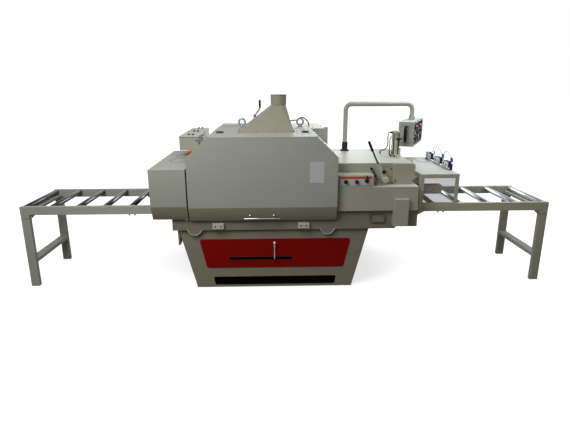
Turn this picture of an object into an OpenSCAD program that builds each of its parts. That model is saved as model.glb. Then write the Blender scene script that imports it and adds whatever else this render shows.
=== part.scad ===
// Multi-blade rip saw with a crawler-chain feed, a hinged front hood and a roller table at each end.
// The origin is the middle of the base on the floor. +X points to the infeed side, +Y to the back.

/* [Base] */
// Width of the base at the floor
base_foot_w = 1490; // [1400:10:1560]
// Width of the base under the bed
base_top_w = 1790; // [1760:5:1860]
// Depth of the base
base_d = 1580; // [1540:5:1680]
// Height of the base
base_h = 588; // [570:2:620]
// Thickness of the base plates
base_wall = 8; // [5:1:12]
// Height of the front panel
panel_h = 289; // [270:1:310]
// Width of the front panel along its top edge
panel_top_w = 1435; // [1350:5:1500]
// Width of the front panel along its bottom edge
panel_foot_w = 1305; // [1250:5:1340]

/* [Bed] */
// Reach of the bed from the middle of the base to the outfeed side
bed_left = 945; // [920:5:980]
// Reach of the bed from the middle of the base to the infeed side
bed_right = 1341; // [1330:1:1370]
// Depth of the bed
bed_d = 1110; // [1090:5:1150]
// Height of the bed
bed_h = 182; // [176:2:200]
// Wall thickness of the bed
bed_wall = 25; // [18:1:30]

/* [Roller tables] */
// Length of the outfeed table
left_table_l = 1433; // [1400:1:1500]
// Length of the infeed table
right_table_l = 1300; // [1280:1:1400]
// Width over the table rails
table_d = 767; // [740:1:800]
// Height of a rail tube, also the long side of a leg tube
rail_h = 80; // [70:1:90]
// Width of a rail tube, also the short side of a leg tube
rail_w = 40; // [36:1:44]
// Wall of the rail and leg tubes
rail_wall = 3; // [2:0.5:5]
// Radius of a table roller
roller_r = 25; // [22:1:30]
// Rollers on each table
roller_count = 5; // [5:1:5]

/* [Feed chain] */
// Width of the feed chain
chain_w = 400; // [360:5:440]
// Outer radius of the chain round its sprockets
chain_r = 95; // [90:1:98]
// Thickness of the chain pads
chain_t = 22; // [18:1:26]

/* [Saw] */
// Radius of a saw blade
blade_r = 150; // [130:1:160]
// Saw blades on the arbor
blade_count = 7; // [3:1:9]
// Distance between blades
blade_pitch = 60; // [50:1:60]
// Radius of the arbor
arbor_r = 35; // [30:1:40]
// Radius of a press roller
press_r = 55; // [45:1:60]

/* [Hood] */
// Width of the hood
hood_w = 1346; // [1330:1:1360]
// Width of the hood across its flat top
hood_top_w = 960; // [900:5:1000]
// Height of the hood above the bed
hood_rise = 690; // [670:2:720]
// Reach of the hood in front of the bed
hood_out = 90; // [80:1:110]
// Sheet thickness of hood and covers
sheet = 4; // [3:0.5:6]
// Outer radius of the dust collar
collar_r = 75; // [60:1:80]

/* [Infeed side] */
// Width of the infeed housing
infeed_w = 719; // [700:1:735]
// Depth of the infeed housing
infeed_d = 960; // [940:1:1000]
// Height of the infeed housing
infeed_h = 420; // [400:1:450]
// Width of the infeed guard
guard_w = 370; // [340:1:400]
// Length of the pendant arm from post to drop
arm_l = 718; // [680:1:760]
// Height of the pendant arm above the infeed housing
arm_h = 497; // [470:1:530]
// Length of the pendant box
pendant_l = 630; // [560:5:650]
// Height of the pendant box
pendant_h = 246; // [220:1:255]
// Thickness of the pendant box
pendant_t = 155; // [130:1:170]
// Turn of the pendant box about its drop tube
pendant_turn = 24.9; // [0:0.1:40]

/* [Outfeed side] */
// Width of the outfeed cover
outfeed_w = 325; // [300:1:340]
// Height of the outfeed cover above the bed
outfeed_h = 407; // [390:1:430]
// Length of the console
console_l = 906; // [860:1:920]
// Width of the console
console_w = 192; // [170:1:200]

/* [Hidden] */
$fn = 48;

// Overrun of every cut, gap between neighbours, running clearance of shafts, gap between welded tubes
over = 2;
gap = 0.3;
run = 0.06;
seam = 0.25;

// Colours
paint = "#8f9188";
dark = "#33322e";
red = "#a01822";
steel = "#a8aaa8";
chrome = "#d8dadc";
black = "#1b1b1b";

// Base: foot flange, anchor holes, toe recess, panel opening, inner rails, hanger plate
base_front = -base_d / 2;
base_back = base_d / 2;
flange_w = 60;
flange_t = 10;
anchor_in = 40;
anchor_r = 9;
anchor_x = base_foot_w / 2 - anchor_in;
anchor_y = base_d / 2 - anchor_in;
toe_top_w = 1180;
toe_foot_w = 1152;
toe_x = 4;
toe_z = 24;
toe_h = 83;
toe_depth = 50;
toe_r = 12;
panel_x = 8;
panel_z = 202;
panel_t = 6;
panel_r = 25;
panel_lap = 40;
slot_left = 434;
slot_right = 155;
slot_z = 297;
slot_h = 25;
motor_rail_w = 50;
motor_rail_h = 40;
motor_rail_z = 130;
hanger_w = 19;
hanger_drop = 152;
hanger_d = 90;
hanger_in = 9;
hanger_x = base_top_w / 2 - hanger_in;
bed_cut_in = 120;
belt_slot_w = 300;
belt_slot_margin = 20;

// Shift lever: guide rod behind the panel, carriage, neck, stem and knob
guide_r = 12;
guide_in = 50;
guide_past = 40;
guide_block = 24;
carriage_l = 60;
carriage_h = 50;
neck_r = 9;
neck_out = 42;
stem_h = 150;
shift_knob_r = 14;
shift_knob_h = 32;

// Bed: overhang, raised end, table strips, lugs, chain windows
bed_front = 30;
bed_y0 = base_front - bed_front;
bed_y1 = bed_y0 + bed_d;
bed_z0 = base_h;
bed_top = base_h + bed_h;
bed_step_w = 213;
bed_step_h = 18;
bed_step_run = 16;
strip_h = 30;
strip_w = 130;
strip_off = 12;
lug_mid = -121.5;
lug_off = 619.5;
lug_x = [lug_mid - lug_off, lug_mid + lug_off];
lug_r = 62;
lug_drop = 45;
lug_fillet = 40;
window_past = 16;

// Tables: place, rise above the bed, feed plane, throat
table_in = 110;
table_rise = 30;
roller_proud = 5;
table_y0 = bed_y0 + table_in;
table_y1 = table_y0 + table_d;
table_top = bed_top + table_rise;
feed_z = table_top + roller_proud;
lane_y = (table_y0 + table_y1) / 2;
throat_w = 690;
throat_h = 125;
throat_z = feed_z + throat_h;
throat_y0 = lane_y - throat_w / 2;
throat_y1 = lane_y + throat_w / 2;
rail_clear = 10;
axle_r = 8;
axle_short = 2;
roller_short = 4;
roller_z = feed_z - roller_r;
roller_in = 31;
left_step = 248;
right_step = 270;
leg_stub = 35;
gusset = 50;
gusset_t = 8;
brace_z = 240;
end_bar_h = 28;
end_bar_lift = 2;
tie_in = 160;
tie_w = 40;
tie_t = 12;
bracket_l = 100;
bracket_h = 55;
bracket_t = 30;

// Chain, sprockets and gearmotor
notch_pitch = 62;
notch_w = 5;
notch_d = 9;
sprocket_z = feed_z - chain_r;
drive_in = 164;
idler_in = 132;
drive_x = bed_right - drive_in;
idler_x = -bed_left + idler_in;
sprocket_clear = 2.3;
sprocket_w = 36;
sprocket_off = 120;
feed_shaft_r = 25;
drive_out = 30;
gearbox_w = 180;
gearbox_d = 140;
gearbox_h = 180;
feed_motor_r = 70;
feed_motor_l = 267;

// Arbor, bearings, pulleys, belts and motor
hood_x = -100;
arbor_x = hood_x;
blade_lift = 1;
blade_t = 4;
tooth_count = 24;
tooth_h = 10;
blade_kerf_share = 0.55;
arbor_z = feed_z + blade_r + blade_lift;
collar_out = 17;
stack_clear = 0.2;
arbor_nut_r = 55;
arbor_nut_l = 30;
front_bearing_d = 80;
front_bearing_w = 160;
front_bearing_top = 84;
front_bearing_in = 30;
rear_tube_r = 95;
rear_tube_gap = 102;
rear_flange_r = 140;
rear_flange_t = 30;
belt_count = 3;
belt_facets = 24;
belt_w = 14;
belt_t = 10;
belt_pitch = 28;
belt_back = 140;
pulley_l = 92;
arbor_pulley_r = 80;
motor_pulley_r = 110;
pulley_rim = 8;
pulley_rim_w = 10;
motor_drop = 586;
motor_z = arbor_z - motor_drop;
motor_r = 165;
motor_front = 730;
motor_l = 500;
motor_shaft_r = 28;
motor_shaft_in = 60;
motor_foot_off = 110;
motor_bell_r = 135;
motor_bell_l = 40;
terminal_w = 120;
terminal_h = 60;

// Press rollers and their beams
press_gap = 30;
press_off = 430;
press_l = 540;
press_shaft_r = 15;
press_z = feed_z + press_gap + press_r;
hanger_t = 20;
hanger_gap = 4;
beam_w = 80;
beam_h = 60;
beam_lift = 60;

// Anti-kickback fingers
finger_count = 12;
finger_pitch = 52;
finger_t = 12;
finger_l = 170;
finger_shaft_r = 14;
finger_x_in = 359;
finger_lift = 170;
finger_shares = [[-0.13, 0.10], [0.13, 0.10], [0.10, -0.50], [-0.40, -0.92], [-0.47, -0.88],
                 [-0.15, -0.30]];

// Hood and top housing
hood_x0 = hood_x - hood_w / 2;
hood_x1 = hood_x + hood_w / 2;
hood_y = bed_y0 - hood_out;
hood_top = bed_top + hood_rise;
hood_slope_h = 184;
face_rise = 55;
strip_drop = 80;
strip_lean = 60;
hem = 12;
skirt_lift = 6;
hinge_in = 280;
hinge_y = bed_y0 + hinge_in;
hinge_gap = 4;
hinge_off = 402;
hinge_l = 66;
knuckle_r = 7;
hinge_pin_r = 4;
leaf_l = 38;
leaf_t = 5;
hinge_z = hood_top + knuckle_r + gap;
house_d = 930;
house_y1 = bed_y0 + house_d;
belt_y = bed_y1 + belt_back;
motor_y0 = belt_y - motor_front;
house_t = 6;
house_back_t = 12;
handle_l = 330;
handle_x = -111;
handle_r = 11;
handle_post_r = 8;
handle_post_off = 109;
handle_out = 45;
handle_share = 0.61;

// Dust cone, lifting eyes and crank
cone_off = 32;
cone_x = hood_x + cone_off;
cone_w = 524;
cone_in = 20;
cone_back = 230;
cone_d = house_d - hinge_in - cone_in - cone_back;
cone_h = 246;
cone_lean = 121;
cone_flange = 13;
cone_wall = 3;
collar_step = 3;
collar_h = 94;
cone_y = hinge_y + cone_in + cone_d / 2;
collar_x = cone_x + cone_lean;
eye_mid = 78.5;
eye_off = 308.5;
eye_x = [eye_mid - eye_off, eye_mid + eye_off];
eye_in = 40;
eye_r = 34;
eye_wire = 7;
eye_collar_r = 16;
eye_collar_h = 16;
crank_off = 90;
crank_x = hood_x - crank_off;
crank_in = 120;
crank_r = 14;
crank_h = 134;
crank_boss_r = 30;
crank_boss_h = 60;
crank_arm = 54;
crank_arm_rise = 77;
crank_grip_r = 10;
crank_grip_h = 83;

// Rear enclosure
encl_off = 75;
encl_x = hood_x + encl_off;
encl_w = 1160;
encl_drop = 27;
encl_bore = 110;
duct_w = 36;
duct_d = 40;
duct_low = 243;
duct_rise = 14;

// Outfeed cover, its stop button and the console
side_gap = 12;
out_x1 = hood_x0 - side_gap;
out_x0 = out_x1 - outfeed_w;
out_top = bed_top + outfeed_h;
out_face_rise = 68;
out_strip_drop = 65;
stop_in = 68;
stop_w = 70;
stop_h = 78;
stop_d = 60;
stop_front = 184;
stop_head_r = 24;
stop_head_t = 16;
stop_stem_r = 8;
stop_stem_l = 30;
stop_travel = 8;
console_in = 22;
console_x = -base_top_w / 2 + console_in;
console_rise = 467;
console_h = 143;
console_front = 116;
console_wall = 3;
console_lid = 6;
console_lid_t = 8;
column_w = 100;
column_d = 300;
column_in = 370;
console_z = bed_top + console_rise;
console_top = console_z + console_h;
console_y0 = -console_front;

// Infeed cover, knobs, housing, plates
in_gap = 28;
in_x0 = hood_x1 + in_gap;
in_x1 = in_x0 + infeed_w;
in_y0 = table_y0;
in_y1 = in_y0 + infeed_d;
in_top = bed_top + infeed_h;
in_wall = 10;
cover_out = 16;
cover_x0 = in_x0 - cover_out;
cover_w = 740;
cover_d = 145;
cover_y = in_y0 - cover_d;
cover_high_w = 321;
cover_high = 335;
cover_ledge = 226;
knob_r = 17;
knob_l = 22;
knob_stem_r = 5;
knob_stem_l = 20;
knob_in = 67;
knob_gap = 99;
knob_x = [knob_in, knob_in + knob_gap];
knob_rise = 276;
selector_x = 256;
selector_rise = 284;
selector_l = 52;
selector_w = 12;
bar_size = 30;
bar_rise = 170;
bar_short = 20;
bearing_plate_w = 213;
bearing_plate_t = 14;
bearing_plate_r = 30;
plate_low = 226;
bearing_plate_h = 191;
check_plate_x = 417;
check_plate_w = 88;
check_plate_h = 155;
check_plate_t = 5;
drive_cover_w = 134;
drive_cover_h = 256;
drive_cover_low = 44;
drive_cover_out = 80;
drive_cover_x = 1098;
name_plate_x = 898;
name_plate_w = 131;
name_plate_h = 75;
name_plate_low = 69;
name_plate_t = 6;
latch_mid = -122.5;
latch_off = 396.5;
latch_x = [latch_mid - latch_off, latch_mid + latch_off];
latch_w = 104;
latch_h = 55;
latch_low = 17;
latch_out = 30;

// Levers on the infeed side
lever_in = 429;
lever_rise = 275;
lever_out = 65;
lever_x = in_x0 + lever_in;
lever_z = bed_top + lever_rise;
lever_y = in_y0 - lever_out;
lever_hub_r = 28;
lever_hub_l = 50;
lever_shaft_r = 12;
lever_arm_x = 74;
lever_arm_z = 147;
lever_arm_r = 13;
lever_ball_r = 20;
lever_rod_x = 130;
lever_rod_z = 265;
lever_rod_r = 8;
lever_grip_x = 170;
lever_grip_z = 355;
lever_grip_r = 12;
lock_in = 342;
lock_rise = 306;
lock_x = in_x0 + lock_in;
lock_z = bed_top + lock_rise;
lock_off = 26;
lock_shaft_r = 8;
lock_arm_x = 38;
lock_arm_z = 67;
lock_ball_r = 13;
lock_rod_r = 5;
lock_hub_r = 13;
lock_hub_l = 16;

// Pendant
post_in = 181;
post_back = 840;
post_x = in_x0 + post_in;
post_y = in_y0 + post_back;
post_r = 24;
post_wall = 4;
post_flange_r = 47;
post_flange_t = 10;
post_collar_r = 30;
post_collar_h = 85;
arm_bend = 60;
arm_z = in_top + arm_h;
arm_x = post_x + arm_l;
drop_l = 164;
drop_z = arm_z - drop_l;
socket_r = 32;
socket_h = 42;
socket_deep = 38;
pendant_top = drop_z - seam - (socket_h - socket_deep);
pendant_wall = 3;
panel_margin = 15;
face_t = 3;
grip_r = 8;
grip_l = 150;
grip_out = 40;
estop_along = 176;
estop_down = 62;
start_along = 60;
start_down = 120;
pend_head_r = 20;
pend_head_t = 14;
pend_stem_r = 6;
pend_stem_l = 24;
pend_travel = 6;
start_head_r = 12;

// Air cylinder, T-handle and hose
cyl_in = 624;
cyl_back = 400;
cyl_x = in_x0 + cyl_in;
cyl_y = in_y0 + cyl_back;
cyl_r = 30;
cyl_base = 70;
cyl_base_h = 25;
cyl_body_h = 203;
cyl_cap_r = 37;
cyl_cap_h = 31;
hose_stub_r = 8;
hose_stub_l = 19;
hose_drop = 19;
gland_in = 519;
gland_back = 594;
gland_x = in_x0 + gland_in;
gland_y = in_y0 + gland_back;
gland_r = 10;
gland_h = 12;
tee_in = 627;
tee_back = 294;
tee_x = in_x0 + tee_in;
tee_y = in_y0 + tee_back;
tee_boss_r = 18;
tee_boss_h = 35;
tee_r = 7;
tee_h = 189;
tee_bar = 52;
tee_bar_r = 8;
hose_r = 5;
hose_steps = [
    [-56, 0, 240], [-64, 0, 240], [-72, 0, 236], [-77, 0, 227], [-79, 0, 212], [-79, 1, 190],
    [-77, 3, 166], [-75, 7, 144], [-74, 14, 123], [-75, 25, 103], [-78, 42, 85], [-83, 64, 70],
    [-89, 88, 58], [-95, 114, 50], [-100, 138, 45], [-103, 158, 41], [-105, 174, 37], [-105, 185, 31],
    [-105, 192, 23], [-105, 194, 17], [-105, 194, 12]
];
hose_route = [for (p = hose_steps) [cyl_x, cyl_y, in_top] + p];

// Infeed guard, fence and laser rail
guard_in = 57;
guard_x0 = in_x1 + guard_in;
guard_x1 = guard_x0 + guard_w;
guard_plate = 5;
guard_y0 = table_y0 - guard_plate;
guard_d = 1035;
guard_y1 = guard_y0 + guard_d;
guard_h = 282;
guard_top = table_top + guard_h;
guard_lap = 45;
guard_lift = 3;
guard_frame = 38;
pane_lap = 14;
pane_t = 4;
standoff_r = 12;
standoff_down = 50;
standoff_in = 90;
fence_t = 12;
fence_h = 97;
fence_lift = 3;
fence_short = 12;
fence_block_w = 40;
fence_block_t = 22;
fence_lip = 15;
fence_back = 400;
fence_y = in_y0 + fence_back;
laser_in = 14;
laser_x = guard_x1 - laser_in;
laser_back = 205;
laser_l = 740;
laser_y = [guard_y0 + laser_back, guard_y0 + laser_back + laser_l];
laser_post = 24;
laser_post_h = 62;
laser_bar_w = 20;
laser_bar_h = 25;
laser_bar_lift = 18;
laser_block_gap = 100;
laser_block_run = 245;
laser_block_last = 525;
laser_block_y = [for (y = [laser_block_last, laser_block_run, 0]) laser_y[0] + laser_block_gap + y];
laser_block_l = 110;
laser_block_w = 36;
laser_block_h = 34;
clip_w = 14;
clip_l = 10;
clip_h = 11;
clip_bore_z = 5;
mast_out = 86;
mast_w = 12;
mast_h = 36;
grommet_r = 8;
grommet_h = 6;
grommet_in = 264;
grommet_back = 668;
grommet_x = guard_x1 - grommet_in;
grommet_y = guard_y0 + grommet_back;
cable_r = 3;
cable_steps = [
    [-264, 668, 6], [-264, 668, 14], [-259, 668, 24], [-247, 667, 30], [-231, 666, 30], [-212, 665, 24],
    [-192, 663, 15], [-169, 660, 9], [-145, 658, 7], [-123, 659, 7], [-101, 665, 7], [-83, 677, 8],
    [-69, 695, 10], [-60, 717, 14], [-56, 743, 20], [-55, 771, 27], [-56, 801, 35], [-57, 829, 43],
    [-56, 855, 52], [-51, 877, 61], [-42, 892, 70], [-30, 898, 78], [-20, 892, 84], [-15, 877, 86],
    [-14, 860, 84], [-14, 843, 82], [-14, 817, 82], [-14, 799, 85], [-14, 784, 94], [-14, 770, 108],
    [-14, 754, 125], [-14, 735, 141], [-14, 712, 154], [-14, 686, 163], [-14, 658, 168], [-14, 629, 169],
    [-14, 600, 166], [-14, 572, 159], [-14, 547, 149], [-14, 525, 138], [-14, 506, 128], [-14, 489, 121],
    [-14, 474, 118], [-14, 464, 118], [-14, 452, 118], [-14, 437, 121], [-14, 423, 130],
    [-14, 408, 142], [-14, 390, 154], [-14, 368, 163], [-14, 344, 167], [-14, 319, 166], [-14, 296, 159],
    [-14, 276, 148], [-14, 259, 136], [-14, 245, 125], [-14, 234, 119], [-14, 227, 118],
    [-14, 219, 118]
];
cable_route = [for (p = cable_steps) [guard_x1, guard_y0, guard_top] + p];

// Small screws
console_bolt_r = 12.5;
console_bolt_h = 12;
console_bolt_gap = 21;
console_bolt_shares = [0.17, 0.57, 0.97];
screw_r = 7;
screw_h = 5;
rail_bolt_r = 8;
rail_bolt_l = 13;
rail_bolt_left = 1010;
rail_bolt_right = 237;
rail_bolt_gap = 50;

// Helpers: a box between two corners, outlines drawn out along an axis, and rods
module block(a, b) { translate(a) cube(b - a); }
module along_y(y0, y1) { translate([0, y1, 0]) rotate([90, 0, 0]) linear_extrude(y1 - y0) children(); }
module along_x(x0, x1) { translate([x0, 0, 0]) rotate([90, 0, 90]) linear_extrude(x1 - x0) children(); }
module along_z(z0, z1) { translate([0, 0, z0]) linear_extrude(z1 - z0) children(); }
module rod_x(x0, x1, y, z, r) { translate([x0, y, z]) rotate([0, 90, 0]) cylinder(h = x1 - x0, r = r); }
module rod_y(x, y0, y1, z, r) { translate([x, y1, z]) rotate([90, 0, 0]) cylinder(h = y1 - y0, r = r); }
module rod_z(x, y, z0, z1, r) { translate([x, y, z0]) cylinder(h = z1 - z0, r = r); }
module rod(p, q, r) {
    d = q - p;
    translate(p) rotate([0, acos(d.z / norm(d)), atan2(d.y, d.x)]) cylinder(h = norm(d), r = r);
}
function unit(v) = v / norm(v);
// Points of an outline with its corners rounded
function corner(p, a, b, r, n) =
    let (u = unit(a - p), w = unit(b - p), half = acos(u * w) / 2)
    let (c = p + unit(u + w) * r / sin(half), s = p + u * r / tan(half) - c,
         e = p + w * r / tan(half) - c)
    [for (i = [0:n]) c + r * unit(s * (1 - i / n) + e * i / n)];
function rounded(pts, r, n = 6) =
    [for (i = [0:len(pts) - 1])
        each corner(pts[i], pts[(i + len(pts) - 1) % len(pts)], pts[(i + 1) % len(pts)], r, n)];
// A rounded rectangle between two corners, with true arcs
module round_rect(a, b, r) {
    translate([a.x + r, a.y]) square([b.x - a.x - 2 * r, b.y - a.y]);
    translate([a.x, a.y + r]) square([b.x - a.x, b.y - a.y - 2 * r]);
    for (x = [a.x + r, b.x - r], y = [a.y + r, b.y - r]) translate([x, y]) circle(r);
}
// A round tube swept along a route of points
function carried(prev, t) = unit(prev - t * (prev * t));
function swept_t(pts, i) = unit(pts[min(i + 1, len(pts) - 1)] - pts[max(i - 1, 0)]);
function swept_side(t) = unit(cross(t, abs(t.x) > abs(t.z) ? [0, 1, 0] : [1, 0, 0]));
function swept_u(pts) =
    [for (i = 0, u = swept_side(swept_t(pts, 0)); i < len(pts);
          i = i + 1, u = i < len(pts) ? carried(u, swept_t(pts, i)) : u) u];
module swept_tube(pts, r, n) {
    us = swept_u(pts);
    rings = [for (i = [0:len(pts) - 1], k = [0:n - 1])
        let (t = swept_t(pts, i), v = cross(t, us[i]))
        pts[i] + r * (cos(360 * k / n) * us[i] + sin(360 * k / n) * v)];
    last = len(pts) - 1;
    sides = [for (i = [0:last - 1], k = [0:n - 1])
        each [[i * n + k, i * n + (k + 1) % n, (i + 1) * n + (k + 1) % n],
              [i * n + k, (i + 1) * n + (k + 1) % n, (i + 1) * n + k]]];
    caps = [for (k = [1:n - 2]) each [[0, k + 1, k], [last * n, last * n + k, last * n + k + 1]]];
    polyhedron(points = rings, faces = [for (f = concat(sides, caps)) [f[0], f[2], f[1]]]);
}

// Base
module base_outline(inset, low) {
    lean = (base_top_w - base_foot_w) / 2 / base_h;
    polygon([
        [-base_foot_w / 2 - low * lean + inset, low], [base_foot_w / 2 + low * lean - inset, low],
        [base_top_w / 2 - inset, base_h - inset], [-base_top_w / 2 + inset, base_h - inset]
    ]);
}
function panel_points(inset) = [
    [panel_x - panel_foot_w / 2 + inset, panel_z + inset],
    [panel_x + panel_foot_w / 2 - inset, panel_z + inset],
    [panel_x + panel_top_w / 2 - inset, panel_z + panel_h - inset],
    [panel_x - panel_top_w / 2 + inset, panel_z + panel_h - inset]
];
function toe_points(out) = [
    [toe_x - toe_foot_w / 2 - out, toe_z - out], [toe_x + toe_foot_w / 2 + out, toe_z - out],
    [toe_x + toe_top_w / 2 + out, toe_z + toe_h + out],
    [toe_x - toe_top_w / 2 - out, toe_z + toe_h + out]
];
module base_frame() color(paint) {
    difference() {
        along_y(base_front, base_back) base_outline(0, 0);
        along_y(base_front + base_wall, base_back - base_wall) base_outline(base_wall, flange_t);
        block([-base_foot_w / 2 + base_wall + flange_w, base_front + base_wall + flange_w, -over],
              [base_foot_w / 2 - base_wall - flange_w, base_back - base_wall - flange_w,
               flange_t + over]);
        along_y(base_front - over, base_front + base_wall + over)
            polygon(rounded(panel_points(panel_lap), panel_r));
        along_y(base_front - over, base_front + base_wall + over)
            polygon(rounded(toe_points(0), toe_r));
        block([-base_top_w / 2 + bed_cut_in, base_front + bed_cut_in, base_h - 2 * base_wall],
              [base_top_w / 2 - bed_cut_in, bed_y1 - bed_cut_in, base_h + over]);
        block([arbor_x - belt_slot_w / 2, belt_y - belt_slot_margin, base_h - 2 * base_wall],
              [arbor_x + belt_slot_w / 2, belt_y + pulley_l + belt_slot_margin, base_h + over]);
        for (x = [-anchor_x, anchor_x], y = [-anchor_y, anchor_y])
            rod_z(x, y, -over, flange_t + over, anchor_r);
    }
    difference() {
        along_y(base_front, base_front + toe_depth + sheet) polygon(rounded(toe_points(sheet), toe_r));
        along_y(base_front - over, base_front + toe_depth) polygon(rounded(toe_points(0), toe_r));
    }
    for (x = [-motor_foot_off, motor_foot_off])
        block([arbor_x + x - motor_rail_w / 2, base_front + base_wall, motor_rail_z],
              [arbor_x + x + motor_rail_w / 2, base_back - base_wall, motor_rail_z + motor_rail_h]);
    block([-hanger_x - hanger_w, base_front, base_h - hanger_drop],
          [-hanger_x, base_front + hanger_d, base_h]);
}
module slot_outline() {
    round_rect([panel_x - slot_left, slot_z - slot_h / 2], [panel_x + slot_right, slot_z + slot_h / 2],
               slot_h / 2 - run);
}
module base_panel() color(red) {
    difference() {
        along_y(base_front - panel_t, base_front) polygon(rounded(panel_points(0), panel_r));
        along_y(base_front - panel_t - over, base_front + over) slot_outline();
    }
    rod_x(panel_x - slot_left - guide_past, panel_x + slot_right + guide_past, base_front + guide_in,
          slot_z, guide_r);
    for (x = [panel_x - slot_left - guide_past, panel_x + slot_right + guide_past])
        block([x - guide_block / 2, base_front, slot_z - guide_block / 2],
              [x + guide_block / 2, base_front + guide_in + guide_block / 2, slot_z + guide_block / 2]);
}
module shift_lever() color(chrome) {
    difference() {
        translate([-carriage_l / 2, base_front + guide_in - carriage_h / 2, slot_z - carriage_h / 2])
            cube([carriage_l, carriage_h, carriage_h]);
        rod_x(-carriage_l, carriage_l, base_front + guide_in, slot_z, guide_r + run);
    }
    rod_y(0, base_front - neck_out - neck_r, base_front + guide_in - carriage_h / 2, slot_z, neck_r);
    rod_z(0, base_front - neck_out, slot_z, slot_z + stem_h, neck_r);
    rod_z(0, base_front - neck_out, slot_z + stem_h, slot_z + stem_h + shift_knob_h, shift_knob_r);
}

// Bed
module bed_outline() {
    polygon([
        [-bed_left, bed_z0], [bed_right - bed_step_w, bed_z0],
        [bed_right - bed_step_w + bed_step_run, bed_z0 + bed_step_h],
        [bed_right, bed_z0 + bed_step_h], [bed_right, bed_top], [-bed_left, bed_top]
    ]);
}
module lug_outline() {
    up = lug_r - lug_drop;
    span = sqrt(pow(lug_r + lug_fillet, 2) - pow(up + lug_fillet, 2));
    tip = [0, up] + [span, -lug_fillet - up] * lug_r / (lug_r + lug_fillet);
    difference() {
        polygon([[-span, 0], [-tip.x, tip.y], [tip.x, tip.y], [span, 0]]);
        for (s = [-1, 1]) translate([s * span, -lug_fillet]) circle(lug_fillet);
    }
    intersection() {
        translate([0, up]) circle(lug_r);
        translate([-lug_r, -lug_drop]) square([2 * lug_r, lug_drop]);
    }
}
module chain_window(x, out) {
    block([x - out, lane_y - chain_w / 2 - window_past, bed_top - 2 * bed_wall],
          [x + out, lane_y + chain_w / 2 + window_past, bed_top + over]);
}
module bed() color(paint) {
    difference() {
        along_y(bed_y0, bed_y1) bed_outline();
        block([-bed_left + bed_wall, bed_y0 + bed_wall, bed_z0 - over],
              [bed_right - bed_wall, bed_y1 - bed_wall, bed_top - bed_wall]);
        chain_window(drive_x, chain_r + window_past);
        chain_window(idler_x, chain_r + window_past / 2);
        for (x = [drive_x, idler_x])
            rod_y(x, bed_y0 - over, bed_y1 + over, sprocket_z, feed_shaft_r + run);
    }
    for (x = lug_x)
        along_y(bed_y0, base_front - gap) translate([x, bed_z0]) lug_outline();
    // Ways under the upper chain run, and strips beside it
    block([idler_x + chain_r + 2 * window_past, lane_y - sprocket_off - sprocket_w, bed_top],
          [drive_x - chain_r - 2 * window_past, lane_y + sprocket_off + sprocket_w,
           feed_z - chain_t - gap]);
    for (s = [-1, 1])
        translate([0, lane_y + s * (chain_w / 2 + strip_off + strip_w / 2) - strip_w / 2, 0])
            block([idler_x, 0, bed_top],
                  [in_x0 + infeed_w - in_wall - rail_clear, strip_w, bed_top + strip_h]);
}
module cover_plates() color(paint) {
    // Drive cover, open at its back, stepping over the infeed cover
    front = bed_y0 - drive_cover_out;
    low = bed_z0 + drive_cover_low;
    difference() {
        along_x(drive_cover_x, drive_cover_x + drive_cover_w) polygon([
            [front, low], [bed_y0, low], [bed_y0, bed_top - gap], [cover_y - gap, bed_top - gap],
            [cover_y - gap, low + drive_cover_h], [front, low + drive_cover_h]
        ]);
        along_x(drive_cover_x + sheet, drive_cover_x + drive_cover_w - sheet) polygon([
            [front + sheet, low + sheet], [bed_y0 + over, low + sheet],
            [bed_y0 + over, bed_top - gap - sheet],
            [cover_y + over, bed_top - gap - sheet], [cover_y + over, low + drive_cover_h - sheet],
            [front + sheet, low + drive_cover_h - sheet]
        ]);
    }
    along_y(bed_y0 - name_plate_t, bed_y0)
        round_rect([name_plate_x, bed_z0 + name_plate_low],
                   [name_plate_x + name_plate_w, bed_z0 + name_plate_low + name_plate_h],
                   name_plate_h / 4);
    for (x = latch_x)
        block([x - latch_w / 2, bed_y0 - latch_out, bed_z0 + latch_low],
              [x + latch_w / 2, bed_y0, bed_z0 + latch_low + latch_h]);
    plate_z = bed_top + plate_low;
    along_y(in_y0 - bearing_plate_t, in_y0)
        round_rect([in_x1 - bearing_plate_w, plate_z + gap], [in_x1, plate_z + bearing_plate_h],
                   bearing_plate_r);
    difference() {
        block([in_x0 + check_plate_x, in_y0 - check_plate_t, plate_z + gap],
              [in_x0 + check_plate_x + check_plate_w, in_y0, plate_z + check_plate_h]);
        rod_y(lever_x, in_y0 - check_plate_t - over, in_y0 + over, lever_z, lever_shaft_r + gap);
    }
}

// Motor, pulleys and belts
module main_motor() color(steel) {
    difference() {
        union() {
            rod_y(arbor_x, motor_y0 + motor_bell_l, motor_y0 + motor_l - motor_bell_l, motor_z,
                  motor_r);
            rod_y(arbor_x, motor_y0, motor_y0 + motor_l, motor_z, motor_bell_r);
            for (s = [-1, 1])
                translate([arbor_x + s * motor_foot_off - motor_rail_w / 2, 0, 0])
                    block([0, motor_y0 + 2 * motor_bell_l, motor_rail_z + motor_rail_h],
                          [motor_rail_w, motor_y0 + motor_l - 2 * motor_bell_l, motor_z - motor_r / 2]);
            block([arbor_x - terminal_w / 2, motor_y0 + motor_l / 2 - terminal_w / 2, motor_z],
                  [arbor_x + terminal_w / 2, motor_y0 + motor_l / 2 + terminal_w / 2,
                   motor_z + motor_r + terminal_h / 2]);
        }
        rod_y(arbor_x, motor_y0 + motor_l - motor_shaft_in - over, motor_y0 + motor_l + over, motor_z,
              motor_shaft_r + run);
    }
}
function belt_mid(i) = belt_y + pulley_l / 2 + (i - (belt_count - 1) / 2) * belt_pitch;
module pulley(x, z, r) {
    rod_y(x, belt_y, belt_y + pulley_l, z, r);
    for (i = [0:belt_count])
        rod_y(x, belt_mid(i - 0.5) - pulley_rim_w / 2, belt_mid(i - 0.5) + pulley_rim_w / 2, z,
              r + pulley_rim);
}
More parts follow.
